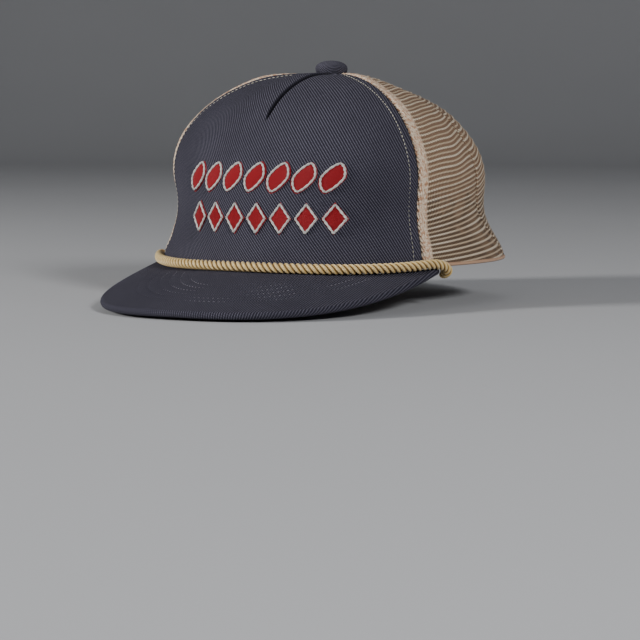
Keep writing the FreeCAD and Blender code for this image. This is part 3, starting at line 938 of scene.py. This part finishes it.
def back_meshes(material):
    for name, side in SIDES:
        piece = mesh_panel(f"back_panel_mesh_{name}", side, back_seam, even(math.pi), 60)
        bar = arch_cutter(0.7 * MM)
        apply_modifier(piece, "BOOLEAN", operation="DIFFERENCE", object=bar, solver="EXACT")
        bpy.data.objects.remove(bar)
        dress(piece, material, "beige_mesh", REAR_BODY[name], f"back_mesh_{name}")


def follow_strap(piece):
    """Bakes the placing of a piece at the rear left corner of the cloth into its mesh."""
    size = bpy.context.scene.cap_crown
    seam_foot = Vector(crown_point(back_seam(np.array(0.0)), np.array(0.0)))
    crest = Vector(crown_point(np.array(math.pi), np.array(size.arch_height)))
    crest.x = 0.0
    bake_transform(piece)


def hem_bindings(material):
    """Narrow tape folded over the hem of the mesh."""
    size = bpy.context.scene.cap_crown
    foot = math.pi - math.asin((size.arch_half_width + 0.5 * MM) / size.rear_length)
    half_tall, half_thick = 1.05 * MM, 1.15 * MM
    for name, side in SIDES:
        first, last = side * (FRONT_SEAM + 0.004), side * foot
        piece, u, v = flat_grid(f"hem_tape_{name}", 12, 150)
        around = u * 2 * math.pi
        depth = 0.45 * MM - half_thick * np.cos(around)
        points = skin_point(first + (last - first) * v, half_tall * (1 + np.sin(around)), depth)
        shape_to(piece, points, u * 6 * MM, v * 160 * MM)
        close_up(piece)
        face_out(piece, capped=True)
        dress(piece, material, "beige_tape", REAR_BODY[name], f"hem_binding_{name}")


def arch_bindings(material):
    """Tape folded over the edge of the rear opening, in two halves that meet at its top."""
    size = bpy.context.scene.cap_crown
    wide, turn_radius = 5.5 * MM, 1.4 * MM
    for name, side in SIDES:
        piece, u, v = flat_grid(f"arch_tape_{name}", 26, 60)
        across = u * 2 - 1
        fold = np.clip(across / 0.3, -1, 1) * math.pi / 2
        flat = np.maximum(np.abs(across) - 0.3, 0) / 0.7 * wide
        offset = flat - turn_radius * np.cos(fold)
        depth = 0.35 * MM + turn_radius * np.sin(fold)
        turn = 0.03 + (math.pi / 2 - 0.03) * v
        x = side * (size.arch_half_width + offset) * np.cos(turn)
        z = (size.arch_height + offset) * np.sin(turn)
        angle = rear_angle(x, z)
        shape_to(piece, skin_point(angle, z, depth), across * 7 * MM, v * 80 * MM)
        if side > 0:
            edit_whole(piece)
            bpy.ops.mesh.flip_normals()
            bpy.ops.object.mode_set(mode="OBJECT")
        apply_modifier(piece, "SOLIDIFY", thickness=0.4 * MM, offset=1.0)
        smooth(piece)
        dress(piece, material, "beige_tape", REAR_BODY[name], f"arch_binding_{name}")


def seam_tapes(material):
    """Tapes over the seams inside the crown."""
    size = bpy.context.scene.cap_crown
    wide = 12 * MM
    seams = [("centre_back_seam_tape", even(math.pi), size.arch_height + 6 * MM)]
    for name, side in SIDES:
        seams.append((f"front_seam_tape_{name}", even(side * FRONT_SEAM), 1.2 * MM))
        seams.append((f"back_seam_tape_{name}", lambda height, side=side: side * back_seam(height), 1.2 * MM))
    for node, seam, low in seams:

        def place(u, v):
            top = ring_height(seam(u * 0 + size.height), 8 * MM)
            height = low + (top - low) * dome_share(v)
            radius = radius_at(seam(height), height)
            return seam(height) + (u - 0.5) * np.minimum(wide / radius, 0.6), height

        def depth(angle, height, across, along):
            return 3.2 * MM + 0.12 * MM * np.cos(across * 4 * math.pi / wide)

        centre = float(seam(np.array(size.height)))
        piece, *_ = crown_sheet(f"{node}_woven", 12, 60, place, depth, centre)
        thicken(piece, 0.4 * MM)
        dress(piece, material, "navy_tape", "cap", node)


def sweatband(material):
    """A padded band inside the hem, in two halves that meet at the front."""
    size = bpy.context.scene.cap_crown
    end = math.pi - math.asin((size.arch_half_width + 3 * MM) / size.rear_length)
    tall = 32 * MM
    for name, side in SIDES:
        first, last = sorted((0.0, side * end))

        def depth(angle, height, across, along):
            rear = smooth_step(np.degrees(np.abs(angle)), 118, 144)
            up = np.clip((height - 0.8 * MM) / tall, 0, 1)
            plump = 0.7 * MM * np.sin(math.pi * up) ** 0.6
            row = 0.35 * MM * np.exp(-(((up - 0.1) / 0.03) ** 2))
            return 3.9 * MM + 3.7 * MM * rear + plump - row

        place = lambda u, v: (first + (last - first) * u, 0.8 * MM + tall * v)
        piece, *_ = crown_sheet(f"sweatband_{name}", 110, 26, place, depth, 0.0)
        thicken(piece, 0.8 * MM)
        dress(piece, material, "sweatband_cloth", REAR_BODY[name], "sweatband")


# ---------------------------------------------------------------- visor


VISOR_TWILL_LEAN = math.radians(4)


def visor_top():
    """The top cover, rolled over the edge of the board, with shallow channels under its rows of stitching."""
    size = bpy.context.scene.cap_visor
    piece, u, v = flat_grid("visor_top_twill", 150, 150)
    u = 1 - u
    round_share = 0.9
    roll = size.thickness / 2
    turn = math.pi * (0.5 - u)
    join = crown_point(VISOR_CORNER * (1 - 2 * u), np.zeros_like(u))
    x0, y0 = visor_edge(turn, roll)
    ahead = np.stack(visor_edge(turn + 0.003, roll)) - np.stack(visor_edge(turn - 0.003, roll))
    ahead /= np.maximum(np.linalg.norm(ahead, axis=0), 1e-12)
    out_x, out_y = ahead[1], -ahead[0]
    flip = np.where(out_x * x0 + out_y * (y0 - size.corner_y) < 0, -1.0, 1.0)
    out_x, out_y = out_x * flip, out_y * flip
    flat = np.clip(v / round_share, 0, 1)
    bend = np.clip((v - round_share) / (1 - round_share), 0, 1) * math.radians(165)
    x = join[..., 0] + (x0 - join[..., 0]) * flat
    y = join[..., 1] + (y0 - join[..., 1]) * flat
    channels = visor_channels(x, y, 1.0 * MM)
    soft = 0.12 * MM * np.sin(x * 120 + 0.5) * np.sin(y * 90)
    z = visor_height(x, y) - 0.22 * MM * channels + soft * (flat < 1) - roll * (1 - np.cos(bend))
    x = x + out_x * roll * np.sin(bend)
    y = y + out_y * roll * np.sin(bend)
    cloth_u = x + out_x * roll * (bend - np.sin(bend))
    cloth_v = y + out_y * roll * (bend - np.sin(bend))
    shape_to(piece, np.stack([x, y, z], axis=-1), cloth_u, cloth_v)
    thicken(piece, 0.5 * MM)
    twill = twill_material("slate_twill_visor", VISOR_TWILL_LEAN, 1.3 * MM, 0.75)
    return dress(piece, twill, "navy_twill", "cap", "visor_top_cover")


def visor_under():
    """The under cover, which ends just inside the rolled edge."""
    size = bpy.context.scene.cap_visor
    piece, u, v = flat_grid("visor_under_twill", 110, 70)
    join = crown_point(VISOR_CORNER * (1 - 2 * u), np.zeros_like(u))
    x1, y1 = visor_edge(math.pi * (0.5 - u), 1.3 * MM)
    x = join[..., 0] * 0.985 + (x1 - join[..., 0] * 0.985) * v
    y = join[..., 1] * 0.985 + (y1 - join[..., 1] * 0.985) * v
    channels = visor_channels(x, y, 1.1 * MM)
    z = visor_height(x, y) - size.thickness + 0.1 * MM + 0.15 * MM * channels
    shape_to(piece, np.stack([x, y, z], axis=-1), x, y)
    thicken(piece, 0.5 * MM)
    twill = twill_material("slate_twill_under", VISOR_TWILL_LEAN, 1.45 * MM)
    return dress(piece, twill, "navy_twill", "cap", "visor_under_cover")


# ---------------------------------------------------------------- threads


def stitch_shape():
    """One stitch lying along X, 1 long and 1 wide, as points and faces."""
    let_go()
    bpy.ops.mesh.primitive_uv_sphere_add(segments=8, ring_count=6, radius=0.5, rotation=(0, math.pi / 2, 0))
    bead = bpy.context.object
    bpy.ops.object.transform_apply(location=False, rotation=True, scale=False)
    points = np.array([v.co for v in bead.data.vertices])
    points[:, 2] *= 0.8
    points[:, 1] *= 1 - 0.25 * (2 * points[:, 0]) ** 2
    faces = [tuple(p.vertices) for p in bead.data.polygons]
    bpy.data.objects.remove(bead)
    return points, faces


def distances(points):
    """Distance along a line of points, from its first to each."""
    return np.concatenate([[0], np.cumsum(np.linalg.norm(np.diff(points, axis=0), axis=1))])


def stitch_row_piece(name, places):
    """Copies of one stitch. places holds (middle, direction, outward, length, width) for each."""
    points, faces = stitch_shape()
    corners, polygons, flat = [], [], []
    for middle, ahead, out, long, wide in places:
        ahead = ahead / np.linalg.norm(ahead)
        across = np.cross(out, ahead)
        across /= np.linalg.norm(across)
        up = np.cross(ahead, across)
        base = len(corners) * len(points)
        spread = np.outer(points[:, 1] * wide, across) + np.outer(points[:, 2] * wide, up)
        corners.append(middle + np.outer(points[:, 0] * long, ahead) + spread)
        flat.append(np.stack([points[:, 1] * wide, points[:, 0] * long], axis=1))
        polygons += [tuple(base + i for i in face) for face in faces]
    mesh = bpy.data.meshes.new(name)
    mesh.from_pydata(np.concatenate(corners).tolist(), [], polygons)
    layer = mesh.uv_layers.new(name="cloth")
    index = np.empty(len(mesh.loops), int)
    mesh.loops.foreach_get("vertex_index", index)
    layer.data.foreach_set("uv", np.concatenate(flat)[index].ravel())
    piece = bpy.data.objects.new(name, mesh)
    bpy.context.scene.collection.objects.link(piece)
    smooth(piece)
    return piece


def seam_stitches(material):
    """Topstitching beside the front seams, on the front panel."""
    trim = bpy.context.scene.cap_trim
    for name, side in SIDES:
        heights = np.linspace(2.5 * MM, 105.6 * MM, 4000)
        line = np.full_like(heights, side * FRONT_SEAM)
        radius = radius_at(line, heights)
        angle = side * (FRONT_SEAM - np.minimum(6 * MM / radius, 0.75))
        spots = skin_point(angle, heights, np.full_like(heights, -0.2 * MM))
        run = distances(spots)
        places = []
        for start in np.arange(0.5 * MM, run[-1] - trim.stitch, trim.stitch):
            i = int(np.searchsorted(run, start))
            j = int(np.searchsorted(run, start + trim.stitch * 0.66))
            middle, ahead = (spots[i] + spots[j]) / 2, spots[j] - spots[i]
            out = outward(angle[i], heights[i])
            places.append((middle, ahead, out, trim.stitch * 0.7, trim.thread))
        piece = stitch_row_piece(f"front_seam_stitches_{name}", places)
        dress(piece, material, "cream_thread", "cap", f"front_seam_stitching_{name}")


def visor_stitches(material):
    """Rows of thread in the channels of the visor's top cover."""
    size = bpy.context.scene.cap_visor
    trim = bpy.context.scene.cap_trim
    upward = np.array([0, 0, 1.0])
    places = []
    for row in range(size.rows):
        turn = np.linspace(math.pi / 2, -math.pi / 2, 5000)
        x, y = visor_edge(turn, size.row_start + size.row_pitch * row)
        z = visor_height(x, y) + 0.05 * MM
        spots = np.stack([x, y, z], axis=1)
        angle = np.arctan2(x, -y)
        clear = np.hypot(x, y) > crown_radius(angle, np.zeros_like(angle)) + 6.5 * MM
        run = distances(spots)
        for start in np.arange(0.4 * MM, run[-1] - trim.stitch, trim.stitch * 1.1):
            i = int(np.searchsorted(run, start))
            j = int(np.searchsorted(run, start + trim.stitch * 0.7))
            if clear[i] and clear[j]:
                middle, ahead = (spots[i] + spots[j]) / 2, spots[j] - spots[i]
                places.append((middle, ahead, upward, trim.stitch * 0.5, trim.thread * 1.25))
    piece = stitch_row_piece("visor_stitch_rows", places)
    dress(piece, material, "navy_thread", "cap", "visor_stitching")


def bartacks(material):
    """Zigzags through the strap ends, on the outside of the mesh."""
    low, high = STRAP_BOX[0][2] + 2.5 * MM, STRAP_BOX[1][2] - 2.5 * MM
    zigs = 22
    for name, side, body in (("left", 1, "peg_side"), ("right", -1, "cap")):
        places = []
        for line in range(2):
            angle = np.array(side * (math.pi - math.radians(27.6 + 2.4 * line)))
            for i in range(zigs):
                height = np.array(low + (high - low) * (i + 0.5) / zigs)
                lean = (1 if i % 2 else -1) * 0.5 * MM
                along = crown_point(angle + 0.01, height) - crown_point(angle - 0.01, height)
                along = along / np.linalg.norm(along) * 1.6 * MM + np.array([0, 0, lean])
                spot = skin_point(angle, height, np.array(-0.75 * MM))
                places.append((spot, along, outward(angle, height), 2.2 * MM, 0.5 * MM))
        piece = stitch_row_piece(f"strap_bartack_{name}_zigzag", places)
        dress(piece, material, "cream_thread", body, f"strap_bartack_{name}")


# ---------------------------------------------------------------- embroidery


MOTIF_ROWS = (
    # height of the row, half-height of a shape, first and last place across the front
    (49.0 * MM, 7.6 * MM, -45.0 * MM, 52.0 * MM),
    (27.0 * MM, 7.9 * MM, -41.0 * MM, 54.0 * MM),
)
MOTIF_COUNT = 7
MOTIF_HALF_WIDTH = 5.4 * MM


def motif_line(row, turn, half, growth):
    """Outline of one shape, from its middle: a leaning leaf above, a diamond below."""
    power = (1.5, 1.0)[row]
    wide, tall = MOTIF_HALF_WIDTH + growth, half + growth
    across = wide * np.abs(np.cos(turn)) ** (2 / power) * np.sign(np.cos(turn))
    up = tall * np.abs(np.sin(turn)) ** (2 / power) * np.sign(np.sin(turn))
    return across + (0.35 * up if row == 0 else 0.0), up


def on_front(x, height, lift):
    """Points above the front panel's cloth."""
    return skin_point(front_angle(x, height), height, -lift)


def join_pieces(name, pieces):
    """One piece out of several."""
    let_go()
    for piece in pieces:
        piece.select_set(True)
    bpy.context.view_layer.objects.active = pieces[0]
    if len(pieces) > 1:
        bpy.ops.object.join()
    joined = bpy.context.object
    joined.name = name
    joined.data.name = name
    return joined


def embroidery():
    """Raised satin shapes, each with a twisted outline laid on it a little inside its edge."""
    fills, outlines = [], []
    for row, (middle, half, first, last) in enumerate(MOTIF_ROWS):
        for i in range(MOTIF_COUNT):
            x_middle = first + (last - first) * (i + 0.5) / MOTIF_COUNT
            piece, u, v = flat_grid("satin_shape", 48, 8)
            turn = u * 2 * math.pi
            dx, dz = motif_line(row, turn, half, 1.15 * MM)
            x, z = x_middle + dx * v, middle + dz * v
            lift = 0.2 * MM + 0.75 * MM * (1 - v**4)
            lift = np.where(v > 0.999, -0.1 * MM, lift)
            threads = z + 0.35 * x if row == 0 else z - 0.5 * x
            shape_to(piece, on_front(x, z, lift), threads, x)
            close_up(piece, 0.01 * MM)
            face_out(piece)
            fills.append(piece)

            piece, u, v = flat_grid("outline_thread", 10, 130)
            around, turn = u * 2 * math.pi, v * 2 * math.pi
            dx, dz = motif_line(row, turn, half, -0.1 * MM)
            ax, az = motif_line(row, turn + 0.02, half, -0.1 * MM)
            bx, bz = motif_line(row, turn - 0.02, half, -0.1 * MM)
            ahead = np.stack([ax - bx, az - bz])
            ahead /= np.maximum(np.linalg.norm(ahead, axis=0), 1e-9)
            radius = 0.52 * MM + 0.13 * MM * np.cos(2 * around - turn * 17)
            sideways = radius * np.cos(around)
            x = x_middle + dx + ahead[1] * sideways
            z = middle + dz - ahead[0] * sideways
            points = on_front(x, z, 0.85 * MM + radius * np.sin(around))
            shape_to(piece, points, around * 0.5 * MM + turn * 9 * MM, turn * 8 * MM)
            close_up(piece)
            face_out(piece)
            outlines.append(piece)
    shades = colours()
    red = thread_material("red_satin_thread", tuple(shades.red), 0.38)
    white = thread_material("white_outline_thread", tuple(shades.white), 0.5, 0.6 * MM)
    satin = join_pieces("embroidery_red_satin", fills)
    dress(satin, red, "red_thread", "cap", "embroidery_fill")
    outline = join_pieces("embroidery_white_outline", outlines)
    dress(outline, white, "white_thread", "cap", "embroidery_outline")


# ---------------------------------------------------------------- rope


def rope_route():
    """The rope's route: along the join of crown and visor, then round each corner and in under the hem."""
    reach = bpy.context.scene.cap_trim.rope_radius + 0.35 * MM
    half = []
    for degrees in (0, 13, 26, 38, 50, 59, 66):
        foot = crown_point(np.array(math.radians(degrees)), np.array(0.0))
        away = foot / np.linalg.norm(foot)
        centre = foot + away * reach
        half.append((centre[0], centre[1], float(visor_height(foot[0], foot[1])) + reach))
    for degrees, out, z in ((71.0, 2.3, 0.0), (73.4, 0.0, -3.8), (74.2, -6.0, -4.6)):
        foot = crown_point(np.array(math.radians(degrees)), np.array(0.0))
        spot = foot + foot / np.linalg.norm(foot) * out * MM
        half.append((spot[0], spot[1], z * MM))
    return [(-x, y, z) for x, y, z in reversed(half[1:])] + half


def smooth_line(route, step):
    """Even points along a smooth curve through a route."""
    curve = bpy.data.curves.new("route", "CURVE")
    curve.dimensions = "3D"
    spline = curve.splines.new("NURBS")
    spline.points.add(len(route) - 1)
    for point, place in zip(spline.points, route):
        point.co = (*place, 1.0)
    spline.order_u = 3
    spline.use_endpoint_u = True
    spline.resolution_u = 24
    holder = bpy.data.objects.new("route", curve)
    bpy.context.scene.collection.objects.link(holder)
    traced = bpy.data.meshes.new_from_object(holder)
    points = np.array([v.co for v in traced.vertices])
    bpy.data.objects.remove(holder)
    bpy.data.meshes.remove(traced)
    bpy.data.curves.remove(curve)
    run = distances(points)
    even_run = np.linspace(0, run[-1], int(run[-1] / step) + 1)
    return np.stack([np.interp(even_run, run, points[:, i]) for i in range(3)], axis=1), even_run


def rope():
    """Three laid strands, as one twisted section carried along the route."""
    trim = bpy.context.scene.cap_trim
    line, run = smooth_line(rope_route(), 0.28 * MM)
    ahead = np.gradient(line, axis=0)
    ahead /= np.linalg.norm(ahead, axis=1, keepdims=True)
    flat_out = np.cross(ahead, np.array([0.0, 0.0, 1.0]))
    flat_out /= np.maximum(np.linalg.norm(flat_out, axis=1, keepdims=True), 1e-9)
    for i in range(1, len(line)):
        carried = flat_out[i - 1] - ahead[i] * np.dot(flat_out[i - 1], ahead[i])
        flat_out[i] = carried / np.linalg.norm(carried)
    upright = np.cross(flat_out, ahead)
    rows = len(line) - 1
    piece, u, v = flat_grid("twisted_rope", 42, rows)
    i = np.rint(v * rows).astype(int)
    around = u * 2 * math.pi
    phase = around + run[i] * 2 * math.pi / trim.rope_lay
    from_strand = (phase * 3 / (2 * math.pi)) % 1.0 - 0.5
    swing = from_strand * 2 * math.pi / 3
    strand_radius, strand_offset = 0.535, 0.465
    reach = strand_offset * np.cos(swing) + np.sqrt(strand_radius**2 - (strand_offset * np.sin(swing)) ** 2)
    ends = np.minimum(run[i], run[-1] - run[i])
    radius = trim.rope_radius * 1.03 * reach * np.clip(0.55 + ends / (2.5 * MM), 0.0, 1.0)
    sideways = flat_out[i] * (radius * np.cos(around))[:, None]
    upwards = upright[i] * (radius * np.sin(around))[:, None]
    shape_to(piece, line[i] + (sideways + upwards), phase * trim.rope_radius, run[i])
    mark(piece, "furrow", np.clip((np.abs(from_strand) - 0.24) / 0.24, 0, 1))
    close_up(piece, 0.01 * MM)
    face_out(piece, capped=True)
    return dress(piece, rope_material(), "gold_rope", "cap", "rope")


# ---------------------------------------------------------------- button and hardware


def button():
    """A cloth-covered button: a flattened dome, gathered in small pleats under its rim."""
    trim = bpy.context.scene.cap_trim
    size = bpy.context.scene.cap_crown
    piece, u, v = flat_grid("button_twill", 96, 36)
    around = u * 2 * math.pi
    tilt = v * math.radians(132)
    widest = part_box("button_cover")[0][2] + 1.85 * MM
    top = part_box("button_cover")[1][2] - widest
    pleat = 0.14 * MM * np.sin(around * 16) * smooth_step(v, 0.55, 1.0)
    radius = trim.button_radius * np.sin(tilt) ** np.where(tilt < math.pi / 2, 0.92, 0.5) + pleat
    height = widest + np.where(tilt < math.pi / 2, top, 5.0 * MM) * np.cos(tilt)
    run = trim.button_radius * tilt
    points = np.stack([radius * np.cos(around), size.top_shift + radius * np.sin(around), height], axis=-1)
    shape_to(piece, points, run * np.cos(around), run * np.sin(around))
    close_up(piece, 0.01 * MM)
    face_out(piece, capped=True)
    twill = twill_material("slate_twill_button", math.radians(-50), 1.7 * MM, 1.6)
    return dress(piece, twill, "navy_twill", "cap", "button_cover")


def finish_node(node, material):
    """A better finish on a node whose shape is right."""
    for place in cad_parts[node].material_slots:
        place.material = material


def hardware():
    """Metal and plastic parts, which keep their own shapes."""
    steel = steel_material()
    for node in ("button_shell", "button_post", "button_washer"):
        finish_node(node, steel)
    finish_node("visor_board", moulded_material("visor_board_plastic", (0.80, 0.80, 0.78), 0.4))


def straps():
    """The straps keep their own shapes."""
    plastic = moulded_material("strap_plastic", (0.035, 0.037, 0.056), 0.22)
    for node in ("peg_strap", "hole_strap", "hole_strap_tab"):
        finish_node(node, plastic)


# ---------------------------------------------------------------- stage


CAMERA_DISTANCE = 1.3
CAMERA_TURN = math.radians(28.607)
CAMERA_RISE = math.radians(5.382)
CAMERA_ROLL = math.radians(0.112)
CAMERA_LENS = 125.69
LOOK_ACROSS = -4.12 * MM
LOOK_UP = -36.22 * MM


def camera():
    """A long lens from the wearer's left of the front, a little above the cap."""
    level = math.cos(CAMERA_RISE)
    back = Vector((math.sin(CAMERA_TURN) * level, -math.cos(CAMERA_TURN) * level, math.sin(CAMERA_RISE)))
    right = Vector((math.cos(CAMERA_TURN), math.sin(CAMERA_TURN), 0))
    up = back.cross(right)
    level_right = right * math.cos(CAMERA_ROLL) + up * math.sin(CAMERA_ROLL)
    level_up = up * math.cos(CAMERA_ROLL) - right * math.sin(CAMERA_ROLL)
    place = Vector((0, 0, LOOK_UP)) + right * LOOK_ACROSS + back * CAMERA_DISTANCE
    lens = bpy.data.cameras.new("camera")
    lens.lens = CAMERA_LENS
    lens.sensor_width = 36
    lens.clip_start = 0.05
    lens.clip_end = 30
    holder = bpy.data.objects.new("camera", lens)
    bpy.context.scene.collection.objects.link(holder)
    turn = Matrix((level_right, level_up, back)).transposed().to_4x4()
    holder.matrix_world = Matrix.Translation(place) @ turn
    bpy.context.scene.camera = holder


def soft_light(name, place, aim, size, power, tint=(1.0, 1.0, 1.0)):
    lamp = bpy.data.lights.new(name, "AREA")
    lamp.shape = "RECTANGLE"
    lamp.size, lamp.size_y = size
    lamp.energy = power
    lamp.color = tint
    holder = bpy.data.objects.new(name, lamp)
    bpy.context.scene.collection.objects.link(holder)
    direction = Vector(aim) - Vector(place)
    holder.rotation_euler = direction.to_track_quat("-Z", "Y").to_euler()
    holder.location = place


def floor():
    """A pale floor that curves up into a wall all round."""
    piece, u, v = flat_grid("studio_floor", 96, 60)
    low = float(CAD_BOX[0][2]) - 1.5 * MM
    flat, bend, tall = 3.2, 1.6, 3.5
    run = v * (flat + bend * math.pi / 2 + tall)
    turn = np.clip((run - flat) / bend, 0, math.pi / 2)
    rise = np.maximum(run - flat - bend * math.pi / 2, 0)
    radius = np.minimum(run, flat) + bend * np.sin(turn)
    around = u * 2 * math.pi
    z = low + bend * (1 - np.cos(turn)) + rise
    points = np.stack([radius * np.cos(around), radius * np.sin(around), z], axis=-1)
    shape_to(piece, points, points[:, 0], points[:, 1])
    close_up(piece, 0.01 * MM)
    smooth(piece)
    paint = Paint("pale_floor")
    cloud = paint.noise(paint.place(), 1.4, 3.0)
    shade = paint.mix(cloud, (0.40, 0.405, 0.42), (0.45, 0.455, 0.47))
    piece.data.materials.append(paint.finish(Base_Color=shade, Roughness=0.95))


def studio():
    """Camera, floor, three soft lights and the air round them."""
    camera()
    floor()
    soft_light("key", (-1.65, -1.75, 0.8), (0, -0.02, 0.05), (0.5, 0.5), 66, (1.0, 0.99, 0.97))
    soft_light("side", (1.75, -1.15, 1.0), (0.05, 0.03, 0.06), (0.4, 0.4), 36)
    soft_light("top", (-0.3, 0.9, 2.6), (0.0, 0.0, 0.0), (1.6, 1.6), 3)
    world = bpy.data.worlds.new("studio_air")
    bpy.context.scene.world = world
    world.use_nodes = True
    world.node_tree.nodes["Background"].inputs[0].default_value = (0.80, 0.82, 0.86, 1.0)
    world.node_tree.nodes["Background"].inputs[1].default_value = 0.21


# ---------------------------------------------------------------- operators


class CAP_OT_front(bpy.types.Operator):
    """Front twill panel with its dart, and the stiff backing behind it"""

    bl_idname = "cap.front"
    bl_label = "Front panel"

    def execute(self, context):
        front_panel()
        backing()
        return {"FINISHED"}


class CAP_OT_mesh(bpy.types.Operator):
    """Side and back mesh panels, cut for the rear opening"""

    bl_idname = "cap.mesh"
    bl_label = "Mesh panels"

    def execute(self, context):
        material = mesh_material()
        side_meshes(material)
        back_meshes(material)
        return {"FINISHED"}


class CAP_OT_tapes(bpy.types.Operator):
    """Tapes over the hem, the rear opening and the seams, and the sweatband"""

    bl_idname = "cap.tapes"
    bl_label = "Tapes and sweatband"

    def execute(self, context):
        tan = tape_material("tan_edge_tape", (0.66, 0.42, 0.27), (0.30, 0.15, 0.08))
        navy = tape_material("navy_seam_tape", (0.075, 0.075, 0.105), (0.02, 0.02, 0.03))
        hem_bindings(tan)
        arch_bindings(tan)
        seam_tapes(navy)
        sweatband(tape_material("brushed_sweatband", (0.07, 0.07, 0.10), (0.03, 0.03, 0.045), 0.7 * MM))
        return {"FINISHED"}


class CAP_OT_visor(bpy.types.Operator):
    """Visor covers over their board, with rows of stitching"""

    bl_idname = "cap.visor"
    bl_label = "Visor"

    def execute(self, context):
        visor_top()
        visor_under()
        visor_stitches(thread_material("navy_sewing_thread", (0.40, 0.39, 0.44)))
        return {"FINISHED"}


class CAP_OT_stitching(bpy.types.Operator):
    """Topstitching beside the front seams and the bar tacks on the strap ends"""

    bl_idname = "cap.stitching"
    bl_label = "Stitching"

    def execute(self, context):
        cream = thread_material("cream_sewing_thread", tuple(colours().cream))
        seam_stitches(cream)
        bartacks(cream)
        return {"FINISHED"}


class CAP_OT_embroidery(bpy.types.Operator):
    """Two rows of raised leaves and diamonds on the front"""

    bl_idname = "cap.embroidery"
    bl_label = "Embroidery"

    def execute(self, context):
        embroidery()
        return {"FINISHED"}


class CAP_OT_rope(bpy.types.Operator):
    """Twisted rope over the visor seam"""

    bl_idname = "cap.rope"
    bl_label = "Rope"

    def execute(self, context):
        rope()
        return {"FINISHED"}


class CAP_OT_button(bpy.types.Operator):
    """Covered top button and the metal parts that hold it"""

    bl_idname = "cap.button"
    bl_label = "Button"

    def execute(self, context):
        button()
        hardware()
        return {"FINISHED"}


class CAP_OT_straps(bpy.types.Operator):
    """Snap straps across the rear opening"""

    bl_idname = "cap.straps"
    bl_label = "Snap straps"

    def execute(self, context):
        straps()
        return {"FINISHED"}


class CAP_OT_stage(bpy.types.Operator):
    """Camera, soft lights and a pale floor"""

    bl_idname = "cap.stage"
    bl_label = "Stage"

    def execute(self, context):
        studio()
        return {"FINISHED"}


OPERATORS = (CAP_OT_stage, CAP_OT_front, CAP_OT_mesh, CAP_OT_tapes, CAP_OT_visor, CAP_OT_stitching,
             CAP_OT_embroidery, CAP_OT_rope, CAP_OT_button, CAP_OT_straps)
SETTINGS = (("cap_crown", CapCrownSettings), ("cap_visor", CapVisorSettings), ("cap_trim", CapTrimSettings),
            ("cap_colours", CapColourSettings))


class CAP_PT_panel(bpy.types.Panel):
    """Sizes, colours and pieces of the cap"""

    bl_idname = "CAP_PT_panel"
    bl_label = "Rope cap"
    bl_space_type = "VIEW_3D"
    bl_region_type = "UI"
    bl_category = "Rope cap"

    def draw(self, context):
        for name, group in SETTINGS:
            box = self.layout.box()
            for field in group.__annotations__:
                box.prop(getattr(context.scene, name), field)
        for operator in OPERATORS:
            self.layout.operator(operator.bl_idname)


def register():
    for name, group in SETTINGS:
        bpy.utils.register_class(group)
        setattr(bpy.types.Scene, name, PointerProperty(type=group))
    for operator in OPERATORS:
        bpy.utils.register_class(operator)
    bpy.utils.register_class(CAP_PT_panel)


def unregister():
    bpy.utils.unregister_class(CAP_PT_panel)
    for operator in reversed(OPERATORS):
        bpy.utils.unregister_class(operator)
    for name, group in reversed(SETTINGS):
        delattr(bpy.types.Scene, name)
        bpy.utils.unregister_class(group)


def main():
    register()
    bpy.ops.cap.stage()
    bpy.ops.cap.front()
    bpy.ops.cap.mesh()
    bpy.ops.cap.tapes()
    bpy.ops.cap.visor()
    bpy.ops.cap.stitching()
    bpy.ops.cap.embroidery()
    bpy.ops.cap.rope()
    bpy.ops.cap.button()
    bpy.ops.cap.straps()


if __name__ == "__main__":
    main()
